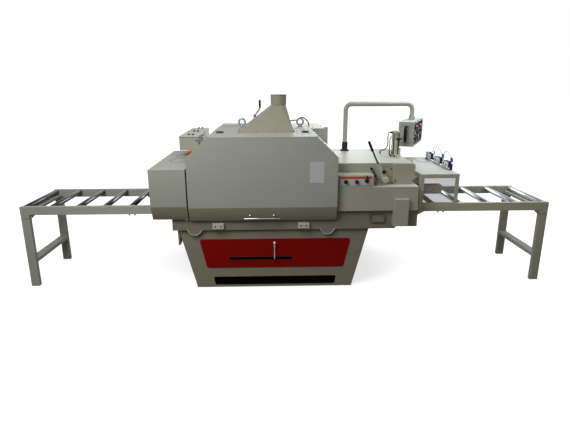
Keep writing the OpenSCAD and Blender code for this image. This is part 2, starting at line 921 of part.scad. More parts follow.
module motor_pulley() color(steel) {
    pulley(arbor_x, motor_z, motor_pulley_r);
    rod_y(arbor_x, motor_y0 + motor_l - motor_shaft_in, belt_y + pulley_l, motor_z, motor_shaft_r);
}
function arc(c, r, a0, a1) =
    [for (i = [0:belt_facets]) let (a = a0 + (a1 - a0) * i / belt_facets) c + r * [cos(a), sin(a)]];
// Belt path round both pulleys, its facets standing clear of the rims
module belt_outline(out) {
    low = motor_pulley_r + gap + out;
    high = arbor_pulley_r + gap + out;
    lean = asin((low - high) / motor_drop);
    clear = cos((90 + lean) / belt_facets);
    polygon(concat(arc([0, 0], low / clear, 180 - lean, 360 + lean),
                   arc([0, motor_drop], high / clear, lean, 180 - lean)));
}
module drive_belts() color(black)
    for (i = [0:belt_count - 1])
        along_y(belt_mid(i) - belt_w / 2, belt_mid(i) + belt_w / 2) translate([arbor_x, motor_z])
            difference() {
            belt_outline(belt_t);
            belt_outline(0);
        }

// Feed chain: one loop with notched pads, running round two sprocket shafts
module loop_outline(r) {
    translate([idler_x, sprocket_z]) circle(r);
    translate([drive_x, sprocket_z]) circle(r);
    translate([idler_x, sprocket_z - r]) square([drive_x - idler_x, 2 * r]);
}
module notch(turn)
    rotate(turn) translate([-notch_w / 2, chain_r - notch_d]) square([notch_w, notch_d + over]);
module feed_chain() color(dark)
    along_y(lane_y - chain_w / 2, lane_y + chain_w / 2) difference() {
        loop_outline(chain_r);
        loop_outline(chain_r - chain_t);
        for (x = [idler_x:notch_pitch:drive_x], s = [0, 180]) translate([x, sprocket_z]) notch(s);
        for (a = [36:36:144]) {
            translate([idler_x, sprocket_z]) notch(a);
            translate([drive_x, sprocket_z]) notch(-a);
        }
    }
module sprocket_pair(x) {
    for (s = [-1, 1])
        rod_y(x, lane_y + s * sprocket_off - sprocket_w / 2, lane_y + s * sprocket_off + sprocket_w / 2,
              sprocket_z, chain_r - chain_t - sprocket_clear);
}
module drive_sprockets() color(steel) {
    sprocket_pair(drive_x);
    rod_y(drive_x, bed_y0 - drive_out, bed_y1 + gearbox_d - over, sprocket_z, feed_shaft_r);
}
module idler_sprockets() color(steel) {
    sprocket_pair(idler_x);
    rod_y(idler_x, bed_y0 + over, bed_y1 - over, sprocket_z, feed_shaft_r);
}
module feed_gearmotor() color(steel) {
    difference() {
        block([drive_x - gearbox_w / 2, bed_y1, sprocket_z - gearbox_h / 2],
              [drive_x + gearbox_w / 2, bed_y1 + gearbox_d, sprocket_z + gearbox_h / 2]);
        rod_y(drive_x, bed_y1 - over, bed_y1 + gearbox_d + over, sprocket_z, feed_shaft_r + run);
    }
    rod_x(drive_x - gearbox_w / 2 - feed_motor_l, drive_x - gearbox_w / 2, bed_y1 + gearbox_d / 2,
          sprocket_z, feed_motor_r);
}

// Saw arbor with spacer collars, toothed blades and bearings
function blade_mid(i) = lane_y + (i - (blade_count - 1) / 2) * blade_pitch;
arbor_y0 = bed_y0 + front_bearing_in - arbor_nut_l / 2;
module saw_arbor() color(steel) {
    rod_y(arbor_x, arbor_y0, belt_y + pulley_l, arbor_z, arbor_r);
    for (i = [0:blade_count])
        rod_y(arbor_x, blade_mid(i - 1) + blade_t / 2 + stack_clear,
              blade_mid(i) - blade_t / 2 - stack_clear, arbor_z, arbor_r + collar_out);
    rod_y(arbor_x, blade_mid(-1) - arbor_nut_l, blade_mid(-1) + blade_t, arbor_z, arbor_nut_r);
    pulley(arbor_x, arbor_z, arbor_pulley_r);
}
module blade_outline() {
    difference() {
        polygon([for (k = [0:tooth_count - 1], j = [0, 1])
            let (a = 360 * (k + j * blade_kerf_share) / tooth_count, r = blade_r - j * tooth_h)
            [r * cos(a), r * sin(a)]]);
        circle(arbor_r + gap);
    }
}
module saw_blades() color(chrome)
    for (i = [0:blade_count - 1])
        along_y(blade_mid(i) - blade_t / 2, blade_mid(i) + blade_t / 2) translate([arbor_x, arbor_z])
            blade_outline();
module arbor_bearings() color(steel) {
    difference() {
        union() {
            block([arbor_x - front_bearing_w / 2, bed_y0 + front_bearing_in, bed_top],
                  [arbor_x + front_bearing_w / 2, bed_y0 + front_bearing_in + front_bearing_d,
                   arbor_z]);
            rod_y(arbor_x, bed_y0 + front_bearing_in, bed_y0 + front_bearing_in + front_bearing_d,
                  arbor_z, front_bearing_top);
        }
        rod_y(arbor_x, bed_y0, bed_y0 + front_bearing_in + front_bearing_d + over, arbor_z,
              arbor_r + run);
    }
    inner = house_y1 - house_back_t;
    difference() {
        union() {
            rod_y(arbor_x, inner - rear_flange_t, belt_y - rear_tube_gap, arbor_z, rear_tube_r);
            rod_y(arbor_x, inner - rear_flange_t, inner, arbor_z, rear_flange_r);
        }
        rod_y(arbor_x, inner - rear_flange_t - over, belt_y - rear_tube_gap + over, arbor_z,
              arbor_r + run);
    }
}

// Press rollers and anti-kickback fingers
module press_roller(x) {
    rod_y(x, lane_y - press_l / 2, lane_y + press_l / 2, press_z, press_r);
    rod_y(x, lane_y - press_l / 2 - hanger_gap - hanger_t + over,
          lane_y + press_l / 2 + hanger_gap + hanger_t - over, press_z, press_shaft_r);
}
module infeed_press_roller() color(steel) press_roller(hood_x + press_off);
module outfeed_press_roller() color(steel) press_roller(hood_x - press_off);
finger_x = in_x0 + finger_x_in;
finger_z = feed_z + finger_lift;
module kickback_fingers() color(steel) {
    rod_y(finger_x, in_y0 + over, in_y1 - over, finger_z, finger_shaft_r);
    for (i = [0:finger_count - 1])
        translate([0, lane_y + (i - (finger_count - 1) / 2) * finger_pitch, 0])
            along_y(-finger_t / 2, finger_t / 2) translate([finger_x, finger_z])
                polygon(finger_shares * finger_l);
}

// Hood: front outline drawn out along Y, cut to the side profile
module hood_outline(inset, low) {
    top = hood_top_w / 2 - inset * tan(22.5);
    side = hood_w / 2 - inset;
    polygon([
        [hood_x - side, low], [hood_x + side, low], [hood_x + side, hood_top - hood_slope_h],
        [hood_x + top, hood_top - inset], [hood_x - top, hood_top - inset],
        [hood_x - side, hood_top - hood_slope_h]
    ]);
}
face_z = bed_top + face_rise;
strip_z = bed_top - strip_drop;
module hood_profile() {
    polygon([
        [hood_y, hood_top], [hood_y, face_z], [hood_y + strip_lean, strip_z],
        [hood_y + strip_lean + hem, strip_z],
        [hood_y + strip_lean + hem, bed_top + skirt_lift], [throat_y0, bed_top + skirt_lift],
        [throat_y0, throat_z], [hinge_y - hinge_gap / 2, throat_z], [hinge_y - hinge_gap / 2, hood_top]
    ]);
}
module hood_inner_profile() {
    polygon([
        [hood_y + sheet, hood_top - sheet], [hood_y + sheet, face_z],
        [hood_y + sheet + strip_lean * (face_z - strip_z + over) / (face_z - strip_z), strip_z - over],
        [hinge_y, strip_z - over], [hinge_y, hood_top - sheet]
    ]);
}
module front_hood() color(paint) {
    difference() {
        intersection() {
            along_y(hood_y, hinge_y) hood_outline(0, strip_z);
            along_x(hood_x0, hood_x1) hood_profile();
        }
        intersection() {
            along_y(hood_y, hinge_y + over) hood_outline(sheet, strip_z - over);
            along_x(hood_x0 - over, hood_x1 + over) hood_inner_profile();
        }
    }
    // Moving hinge leaves with their outer knuckles and pins
    for (s = [-1, 1]) {
        x = hood_x + s * hinge_off;
        for (k = [-1, 1])
            rod_x(x + k * hinge_l / 3 - hinge_l / 6 + gap, x + k * hinge_l / 3 + hinge_l / 6 - gap,
                  hinge_y, hinge_z, knuckle_r);
        rod_x(x - hinge_l / 2, x + hinge_l / 2, hinge_y, hinge_z, hinge_pin_r);
        for (k = [-1, 1])
            block([x + k * hinge_l / 3 - hinge_l / 6 + gap, hinge_y - leaf_l, hood_top],
                  [x + k * hinge_l / 3 + hinge_l / 6 - gap, hinge_y - hinge_gap / 2,
                   hood_top + leaf_t]);
        block([x - hinge_l / 2, hinge_y - leaf_l, hood_top],
              [x + hinge_l / 2, hinge_y - 2 * knuckle_r, hood_top + leaf_t]);
    }
}
module hood_handle() color(chrome) {
    slope = unit([strip_z - face_z, -strip_lean]);
    foot = [hood_y, face_z] + handle_share * [strip_lean, strip_z - face_z];
    tip = foot + slope * handle_out;
    for (s = [-1, 1])
        rod([handle_x + s * handle_post_off, foot.x, foot.y],
            [handle_x + s * handle_post_off, tip.x, tip.y], handle_post_r);
    rod_x(handle_x - handle_l / 2, handle_x + handle_l / 2, tip.x, tip.y, handle_r);
}
module press_beam(x) {
    low = press_z + beam_lift + beam_h / 2;
    end = lane_y - press_l / 2 - hanger_gap - hanger_t;
    difference() {
        union() {
            block([x - beam_w / 2, end, low], [x + beam_w / 2, house_y1 - house_back_t, low + beam_h]);
            for (y = [end, lane_y + press_l / 2 + hanger_gap])
                block([x - beam_w / 2, y, press_z - 2 * press_shaft_r],
                      [x + beam_w / 2, y + hanger_t, low]);
        }
        rod_y(x, end - over, lane_y + press_l / 2 + hanger_gap + hanger_t + over, press_z,
              press_shaft_r + run);
    }
}
module top_housing() color(paint) {
    front = hinge_y + hinge_gap / 2;
    difference() {
        along_y(front, house_y1) hood_outline(0, bed_top);
        along_y(front - over, house_y1 - house_back_t) hood_outline(house_t, bed_top - over);
        block([hood_x0 - over, front - over, bed_top - over], [hood_x1 + over, throat_y1, throat_z]);
        rod_y(arbor_x, house_y1 - house_back_t - over, house_y1 + over, arbor_z, rear_tube_r + gap);
        block([cone_x - cone_w / 2 + cone_flange, cone_y - cone_d / 2 + cone_flange,
               hood_top - 2 * house_t],
              [cone_x + cone_w / 2 - cone_flange, cone_y + cone_d / 2 - cone_flange, hood_top + over]);
        rod_z(crank_x, house_y1 - crank_in, hood_top - 2 * house_t, hood_top + over, crank_r + run);
    }
    difference() {
        rod_z(crank_x, house_y1 - crank_in, hood_top, hood_top + crank_boss_h, crank_boss_r);
        rod_z(crank_x, house_y1 - crank_in, hood_top - over, hood_top + crank_boss_h + over,
              crank_r + run);
    }
    press_beam(hood_x + press_off);
    press_beam(hood_x - press_off);
    // Fixed hinge leaves with their middle knuckles
    for (s = [-1, 1]) {
        x = hood_x + s * hinge_off;
        difference() {
            union() {
                rod_x(x - hinge_l / 6, x + hinge_l / 6, hinge_y, hinge_z, knuckle_r);
                block([x - hinge_l / 6, hinge_y, hood_top + gap],
                      [x + hinge_l / 6, hinge_y + leaf_l, hood_top + leaf_t]);
            }
            rod_x(x - hinge_l, x + hinge_l, hinge_y, hinge_z, hinge_pin_r + run);
        }
        block([x - hinge_l / 2, hinge_y + 2 * knuckle_r, hood_top],
              [x + hinge_l / 2, hinge_y + leaf_l, hood_top + leaf_t]);
    }
}
module rear_enclosure() color(paint) {
    x0 = encl_x - encl_w / 2;
    x1 = encl_x + encl_w / 2;
    top = hood_top - encl_drop;
    difference() {
        along_x(x0, x1)
            polygon([[house_y1, bed_top], [bed_y1, bed_top], [bed_y1, base_h], [base_back, base_h],
                                 [base_back, top], [house_y1, top]]);
        along_x(x0 + sheet, x1 - sheet) polygon([
            [house_y1 + sheet, bed_top - over], [bed_y1 + sheet, bed_top - over],
            [bed_y1 + sheet, base_h - over],
            [base_back - sheet, base_h - over], [base_back - sheet, top - sheet],
            [house_y1 + sheet, top - sheet]]);
        rod_y(arbor_x, house_y1 - over, house_y1 + sheet + over, arbor_z, encl_bore);
        block([arbor_x - belt_slot_w / 2, bed_y1 - over, base_h - over],
              [arbor_x + belt_slot_w / 2, bed_y1 + sheet + over, base_h]);
    }
    // Cable duct on the right side
    block([x1, house_y1, top - duct_low], [x1 + duct_w, house_y1 + duct_d, top + duct_rise]);
}
module cone_solid(inset, low, high) {
    hull() {
        translate([cone_x - cone_w / 2 + inset, cone_y - cone_d / 2 + inset, low])
            cube([cone_w - 2 * inset, cone_d - 2 * inset, seam]);
        translate([collar_x, cone_y, high - seam])
            cylinder(h = seam, r = collar_r - collar_step - inset, $fn = 32);
    }
}
module dust_cone() color(paint) {
    top = hood_top + cone_h;
    difference() {
        union() {
            cone_solid(0, hood_top, top);
            block([cone_x - cone_w / 2 - cone_flange, cone_y - cone_d / 2 - cone_flange, hood_top],
                  [cone_x + cone_w / 2 + cone_flange, cone_y + cone_d / 2 + cone_flange,
                   hood_top + sheet]);
            rod_z(collar_x, cone_y, top - over, top + collar_h, collar_r);
        }
        cone_solid(cone_wall, hood_top - over, top + seam);
        rod_z(collar_x, cone_y, top, top + collar_h + over, collar_r - cone_wall);
    }
}
module height_crank() color(chrome) {
    y = house_y1 - crank_in;
    top = hood_top + crank_h;
    rod_z(crank_x, y, hood_top + over, top, crank_r);
    rod([crank_x, y, top - crank_r], [crank_x + crank_arm, y, top - crank_r + crank_arm_rise],
        crank_r / 2);
    rod_z(crank_x + crank_arm, y, top - crank_r + crank_arm_rise - over,
          top - crank_r + crank_arm_rise + crank_grip_h, crank_grip_r);
}

// Outfeed cover, console and stop button
module outfeed_profile(inset) {
    face = bed_top + out_face_rise;
    low = bed_top - out_strip_drop;
    polygon([
        [hood_y + inset, out_top - inset], [hood_y + inset, face],
        [hood_y + strip_lean + inset, low - inset],
        [hood_y + strip_lean + hem, low - inset], [hood_y + strip_lean + hem, bed_top - inset],
        [bed_y1 - inset, bed_top - inset], [bed_y1 - inset, out_top - inset]
    ]);
}
stop_x = out_x1 - stop_in;
stop_y = -stop_front;
stop_z = out_top + seam + stop_h / 2;
module outfeed_cover() color(paint) {
    difference() {
        along_x(out_x0, out_x1) outfeed_profile(0);
        along_x(out_x0 + sheet, out_x1 + over) outfeed_profile(sheet);
        block([out_x0 - over, table_y0 - rail_clear, bed_top - out_strip_drop - over],
              [out_x0 + sheet + over, table_y1 + rail_clear, throat_z]);
    }
    difference() {
        block([stop_x - stop_w / 2, stop_y, out_top + seam],
              [stop_x + stop_w / 2, stop_y + stop_d, out_top + seam + stop_h]);
        rod_y(stop_x, stop_y - over, stop_y + stop_stem_l + stop_travel + over, stop_z,
              stop_stem_r + run);
    }
}
module estop_button() color(red) {
    rod_y(stop_x, stop_y - stop_travel - stop_head_t, stop_y - stop_travel, stop_z, stop_head_r);
    rod_y(stop_x, stop_y - stop_travel - over, stop_y + stop_stem_l, stop_z, stop_stem_r);
}
module console() color(paint) {
    column_x = console_x + console_w / 2 - console_wall - column_w;
    column_y = column_in;
    difference() {
        union() {
            block([console_x - console_w / 2, console_y0, console_z],
                  [console_x + console_w / 2, console_y0 + console_l, console_top]);
            block([column_x, column_y, base_h],
                  [column_x + column_w, column_y + column_d, console_z + over]);
        }
        block([console_x - console_w / 2 + console_wall, console_y0 + console_wall,
               console_z + console_wall],
              [console_x + console_w / 2 - console_wall, console_y0 + console_l - console_wall,
               console_top - console_lid_t]);
        block([column_x + console_wall, column_y + console_wall, base_h - over],
              [column_x + column_w - console_wall, column_y + column_d - console_wall,
               console_z + 2 * console_wall]);
    }
    block([console_x - console_w / 2 - console_lid, console_y0 - console_lid,
           console_top - console_lid_t],
          [console_x + console_w / 2 + console_lid, console_y0 + console_l + console_lid, console_top]);
}

// Infeed cover, knobs and selector
module infeed_cover_outline(inset, low) {
    x0 = cover_x0 + inset;
    x1 = cover_x0 + cover_w - inset;
    polygon([
        [x0, low], [x1, low], [x1, bed_top + cover_ledge - inset],
        [cover_x0 + cover_high_w - inset, bed_top + cover_ledge - inset],
        [cover_x0 + cover_high_w - inset, bed_top + cover_high - inset],
        [x0, bed_top + cover_high - inset]
    ]);
}
module infeed_cover() color(paint) {
    difference() {
        along_y(cover_y, in_y0) infeed_cover_outline(0, bed_top);
        along_y(cover_y + sheet, in_y0 + over) infeed_cover_outline(sheet, bed_top - over);
        for (x = knob_x)
            rod_y(cover_x0 + x, cover_y - over, cover_y + sheet + over, bed_top + knob_rise,
                  knob_stem_r + run);
        rod_y(cover_x0 + selector_x, cover_y - over, cover_y + sheet + over, bed_top + selector_rise,
              knob_stem_r + run);
    }
}
module knob(x, z) {
    rod_y(x, cover_y - gap - knob_l, cover_y - gap, z, knob_r);
    rod_y(x, cover_y - over, cover_y + knob_stem_l, z, knob_stem_r);
}
module knob_left() color(black) knob(cover_x0 + knob_x[0], bed_top + knob_rise);
module knob_right() color(black) knob(cover_x0 + knob_x[1], bed_top + knob_rise);
module selector_lever() color(black) {
    knob(cover_x0 + selector_x, bed_top + selector_rise);
    translate([cover_x0 + selector_x - selector_w / 2, 0, bed_top + selector_rise])
        block([0, cover_y - knob_l, 0], [selector_w, cover_y - knob_l + selector_w, selector_l]);
}
module infeed_housing() color(paint) {
    difference() {
        block([in_x0, in_y0, bed_top], [in_x1, in_y1, in_top]);
        block([in_x0 - over, in_y0 + in_wall, bed_top - over],
              [in_x1 - in_wall, in_y1 - in_wall, in_top - in_wall]);
        block([in_x1 - in_wall - over, throat_y0, bed_top - over], [in_x1 + over, throat_y1, throat_z]);
        rod_y(finger_x, in_y0 - over, in_y1 + over, finger_z, finger_shaft_r + run);
        rod_y(lever_x, in_y0 - over, in_y0 + in_wall + over, lever_z, lever_shaft_r + run);
        rod_y(lock_x, in_y0 - over, in_y0 + in_wall + over, lock_z, lock_shaft_r + run);
    }
    block([in_x1, throat_y0 - bar_short, bed_top + bar_rise],
          [in_x1 + bar_size, throat_y1 + bar_short, bed_top + bar_rise + bar_size]);
}
module feed_lever() color(chrome) {
    rod_y(lever_x, lever_y - lever_hub_l / 2, lever_y + lever_hub_l / 2, lever_z, lever_hub_r);
    rod_y(lever_x, lever_y, in_y0 + in_wall + over, lever_z, lever_shaft_r);
    at = [lever_x, lever_y, lever_z];
    arm_end = at + [-lever_arm_x, 0, lever_arm_z];
    rod_end = at + [-lever_rod_x, 0, lever_rod_z];
    rod(at, arm_end, lever_arm_r);
    translate((at + arm_end) / 2) rotate(90) sphere(lever_ball_r);
    rod(arm_end, rod_end, lever_rod_r);
    rod(rod_end, at + [-lever_grip_x, 0, lever_grip_z], lever_grip_r);
}
module lock_lever() color(black) {
    y = in_y0 - lock_off;
    rod_y(lock_x, y - lock_hub_l / 2, y + lock_hub_l / 2, lock_z, lock_hub_r);
    rod_y(lock_x, y, in_y0 + in_wall + over, lock_z, lock_shaft_r);
    rod([lock_x, y, lock_z], [lock_x - lock_arm_x, y, lock_z + lock_arm_z], lock_rod_r);
    translate([lock_x - lock_arm_x, y, lock_z + lock_arm_z]) rotate(90) sphere(lock_ball_r);
}

// Pendant
module pendant_base() color(black)
    difference() {
        union() {
            rod_z(post_x, post_y, in_top, in_top + post_flange_t, post_flange_r);
            rod_z(post_x, post_y, in_top, in_top + post_flange_t + post_collar_h, post_collar_r);
        }
        rod_z(post_x, post_y, in_top + over, in_top + post_flange_t + post_collar_h + over,
              post_r + run);
    }
module bend() {
    rotate([90, 0, 0]) rotate_extrude(angle = 90) translate([arm_bend, 0]) difference() {
        circle(post_r);
        circle(post_r - post_wall);
    }
}
module pipe_z(x, z0, z1) {
    difference() {
        rod_z(x, post_y, z0, z1, post_r);
        rod_z(x, post_y, z0 - over, z1 + over, post_r - post_wall);
    }
}
module pendant_arm() color(paint) {
    pipe_z(post_x, in_top + 2 * over, arm_z - arm_bend);
    translate([post_x + arm_bend, post_y, arm_z - arm_bend]) mirror([1, 0, 0]) bend();
    difference() {
        rod_x(post_x + arm_bend, arm_x - arm_bend, post_y, arm_z, post_r);
        rod_x(post_x, arm_x, post_y, arm_z, post_r - post_wall);
    }
    translate([arm_x - arm_bend, post_y, arm_z - arm_bend]) bend();
    pipe_z(arm_x, drop_z, arm_z - arm_bend);
}
module on_pendant() { translate([arm_x, post_y, pendant_top]) rotate(-pendant_turn) children(); }
module pendant_box() color(paint) {
    on_pendant() {
        difference() {
            union() {
                block([-pendant_t / 2, -pendant_l / 2, -pendant_h], [pendant_t / 2, pendant_l / 2, 0]);
                block([pendant_t / 2 - over, -pendant_l / 2 + panel_margin, -pendant_h + panel_margin],
                      [pendant_t / 2 + face_t, pendant_l / 2 - panel_margin, -panel_margin]);
            }
            block([-pendant_t / 2 + pendant_wall, -pendant_l / 2 + pendant_wall,
                   -pendant_h + pendant_wall],
                  [pendant_t / 2 - pendant_wall, pendant_l / 2 - pendant_wall, -pendant_wall]);
            rod_x(pendant_t / 2 - 2 * pendant_wall, pendant_t, -estop_along, -estop_down,
                  pend_stem_r + run);
            rod_x(pendant_t / 2 - 2 * pendant_wall, pendant_t, -start_along, -start_down,
                  pend_stem_r + run);
        }
        difference() {
            rod_z(0, 0, 0, socket_h, socket_r);
            rod_z(0, 0, socket_h - socket_deep, socket_h + over, post_r + run);
        }
        for (s = [-1, 1])
            rod_y(0, -pendant_l / 2 - grip_out, -pendant_l / 2, -pendant_h / 2 + s * grip_l / 2,
                  grip_r);
        rod_z(0, -pendant_l / 2 - grip_out, -pendant_h / 2 - grip_l / 2 - grip_r,
              -pendant_h / 2 + grip_l / 2 + grip_r, grip_r);
    }
}
module push_button(along, down, r) {
    face = pendant_t / 2 + face_t;
    on_pendant() {
        rod_x(face + pend_travel, face + pend_travel + pend_head_t, -along, -down, r);
        rod_x(face - pend_stem_l, face + pend_travel + over, -along, -down, pend_stem_r);
    }
}
module pendant_estop() color(red) push_button(estop_along, estop_down, pend_head_r);
module pendant_start() color("green") push_button(start_along, start_down, start_head_r);

// Air cylinder with its glands, T-handle and hose
module air_cylinder() color("#c8bf9a") {
    top = in_top + cyl_base_h + cyl_body_h;
    block([cyl_x - cyl_base / 2, cyl_y - cyl_base / 2, in_top],
          [cyl_x + cyl_base / 2, cyl_y + cyl_base / 2, in_top + cyl_base_h]);
    rod_z(cyl_x, cyl_y, in_top, top, cyl_r);
    rod_z(cyl_x, cyl_y, top, top + cyl_cap_h, cyl_cap_r);
    rod_x(cyl_x - cyl_cap_r - hose_stub_l, cyl_x, cyl_y, top + cyl_cap_h - hose_drop, hose_stub_r);
    rod_z(gland_x, gland_y, in_top, in_top + gland_h, gland_r);
    difference() {
        rod_z(tee_x, tee_y, in_top, in_top + tee_boss_h, tee_boss_r);
        rod_z(tee_x, tee_y, in_top + over, in_top + tee_boss_h + over, tee_r + run);
    }
}
module t_handle() color(black) {
    rod_z(tee_x, tee_y, in_top + 2 * over, in_top + tee_h, tee_r);
    rod_x(tee_x - tee_bar / 2, tee_x + tee_bar / 2, tee_y, in_top + tee_h, tee_bar_r);
}
module air_hose() color(black) swept_tube(hose_route, hose_r, 10);

// Infeed guard, pane, fence and laser rail
module infeed_guard() color(paint) {
    difference() {
        union() {
            block([guard_x0, guard_y0, table_top - guard_lap],
                  [guard_x1, guard_y0 + guard_plate, guard_top]);
            block([guard_x0, guard_y0, guard_top - guard_plate], [guard_x1, guard_y1, guard_top]);
            block([guard_x0, guard_y0, table_top + guard_lift],
                  [guard_x0 + guard_plate, guard_y1, guard_top]);
        }
        block([guard_x0 + guard_frame, guard_y0 - over, table_top + guard_lift + over],
              [guard_x1 - guard_frame, guard_y0 + guard_plate + over, guard_top - guard_frame]);
        block([guard_x0 - over, throat_y0, table_top - guard_lap],
              [guard_x0 + guard_plate + over, throat_y1, throat_z + rail_clear]);
    }
    for (y = [in_y0 + standoff_in, in_y1 - standoff_in])
        rod_x(in_x1, guard_x0, y, guard_top - standoff_down, standoff_r);
}
module guard_window() color([0.8, 0.9, 0.95, 0.35])
    block([guard_x0 + guard_frame - pane_lap, table_y0, table_top + guard_lift],
          [guard_x1 - guard_frame + pane_lap, table_y0 + pane_t, guard_top - guard_frame + pane_lap]);
module rip_fence() color(steel) {
    x0 = in_x1 + bar_size + gap;
    low = feed_z + fence_lift;
    bar_z = bed_top + bar_rise;
    along_y(fence_y - fence_t / 2, fence_y + fence_t / 2) {
        difference() {
            translate([x0, low]) square([guard_x1 - fence_short - x0, fence_h]);
            translate([guard_x1 - fence_short - fence_h / 3, low + fence_h * 2 / 3]) difference() {
                square(fence_h);
                circle(fence_h / 3);
            }
        }
    }
    block([x0, fence_y - fence_block_w / 2, low + fence_h / 2],
          [x0 + fence_block_t, fence_y + fence_block_w / 2, bar_z + bar_size + gap + fence_lip]);
    block([in_x1 + gap, fence_y - fence_block_w / 2, bar_z + bar_size + gap],
          [x0 + fence_block_t, fence_y + fence_block_w / 2, bar_z + bar_size + gap + fence_lip]);
}
module laser_rail() color("#2a3350") {
    bar_z = guard_top + laser_bar_lift;
    for (y = laser_y)
        block([laser_x - laser_post / 2, y - laser_post / 2, guard_top],
              [laser_x + laser_post / 2, y + laser_post / 2, guard_top + laser_post_h]);
    block([laser_x - laser_bar_w / 2, laser_y[0], bar_z],
          [laser_x + laser_bar_w / 2, laser_y[1], bar_z + laser_bar_h]);
    z = bar_z + laser_bar_h + laser_block_h;
    for (y = laser_block_y)
        block([laser_x - laser_block_w / 2, y - laser_block_l / 2, z - laser_block_h],
              [laser_x + laser_block_w / 2, y + laser_block_l / 2, z]);
    mast_y = [for (i = [1, 2]) laser_block_y[i] - mast_out];
    for (y = mast_y)
        block([laser_x - mast_w / 2, y - mast_w / 2, z - laser_block_h],
              [laser_x + mast_w / 2, y + mast_w / 2, z + mast_h]);
    for (p = [[laser_block_y[0], z], [mast_y[0], z + mast_h]])
        difference() {
            block([laser_x - clip_w / 2, p[0] - clip_l / 2, p[1]],
                  [laser_x + clip_w / 2, p[0] + clip_l / 2, p[1] + clip_h]);
            rod_y(laser_x, p[0] - clip_l, p[0] + clip_l, p[1] + clip_bore_z, cable_r + gap);
        }
    block([laser_x - clip_w / 2, mast_y[1] - clip_l, z + mast_h],
          [laser_x + clip_w / 2, mast_y[1], z + mast_h + clip_h]);
    rod_z(grommet_x, grommet_y, guard_top, guard_top + grommet_h, grommet_r);
}
module laser_cable() color("#c8d4e0") swept_tube(cable_route, cable_r, 8);

// Roller tables: tubes meet at narrow weld seams
module tube_x(x0, x1, y, z) {
    difference() {
        block([x0, y, z], [x1, y + rail_w, z + rail_h]);
        block([x0 - over, y + rail_wall, z + rail_wall],
              [x1 + over, y + rail_w - rail_wall, z + rail_h - rail_wall]);
    }
}
module tube_z(x, y, z0, z1) {
    difference() {
        block([x, y, z0], [x + rail_h, y + rail_w, z1]);
        block([x + rail_wall, y + rail_wall, z0 + rail_wall],
              [x + rail_h - rail_wall, y + rail_w - rail_wall, z1 + over]);
    }
}
module table_frame(x0, x1, out, xs) {
    dir = out < 0 ? 1 : -1;
    end = out < 0 ? x0 : x1;
    leg_x = out < 0 ? x0 : x1 - rail_h;
    rail_z = table_top - rail_h;
    inner0 = table_y0 + rail_w + seam;
    inner1 = table_y1 - rail_w - seam;
    difference() {
        for (y = [table_y0, table_y1 - rail_w]) tube_x(x0, x1, y, rail_z);
        for (x = xs) rod_y(x, table_y0 - over, table_y1 + over, roller_z, axle_r + run);
    }
    for (y = [table_y0, table_y1 - rail_w]) {
        tube_z(leg_x, y, 0, rail_z - leg_stub - seam);
        block([leg_x, y, rail_z - leg_stub], [leg_x + rail_h, y + rail_w, rail_z - seam]);
        inside = out < 0 ? leg_x + rail_h + seam : leg_x - seam;
        along_y(y + rail_w / 2 - gusset_t / 2, y + rail_w / 2 + gusset_t / 2)
            polygon([[inside, rail_z - seam], [inside + dir * gusset, rail_z - seam],
                     [inside, rail_z - gusset]]);
        near = out < 0 ? x1 - seam : x0 + seam;
        along_y(y + rail_w / 2 - bracket_t / 2, y + rail_w / 2 + bracket_t / 2)
            polygon([[near, rail_z - seam], [near - dir * bracket_l, rail_z - seam],
                     [near, rail_z - bracket_h]]);
    }
    // Low brace between the legs, end bar under the last roller, flat tie
    block([leg_x, inner0, brace_z], [leg_x + rail_h, inner1, brace_z + rail_w]);
    block([leg_x, inner0, rail_z + end_bar_lift],
          [leg_x + rail_h, inner1, rail_z + end_bar_lift + end_bar_h]);
    tie_x = end + dir * tie_in;
    block([tie_x - tie_w / 2, inner0, rail_z + end_bar_lift],
          [tie_x + tie_w / 2, inner1, rail_z + end_bar_lift + tie_t]);
}
left_x0 = -bed_left - left_table_l;
right_x1 = bed_right + right_table_l;
function left_roller_x(i) = left_x0 + roller_in + left_step * i;
function right_roller_x(i) = right_x1 - roller_in - right_step * i;
module left_table() color(paint)
    table_frame(left_x0, -bed_left, -1, [for (i = [0:roller_count - 1]) left_roller_x(i)]);
module right_table() color(paint)
    table_frame(bed_right, right_x1, 1, [for (i = [0:roller_count - 1]) right_roller_x(i)]);
module table_roller(x) color(steel) {
    rod_y(x, table_y0 + rail_w + roller_short, table_y1 - rail_w - roller_short, roller_z, roller_r);
    rod_y(x, table_y0 + axle_short, table_y1 - axle_short, roller_z, axle_r);
}

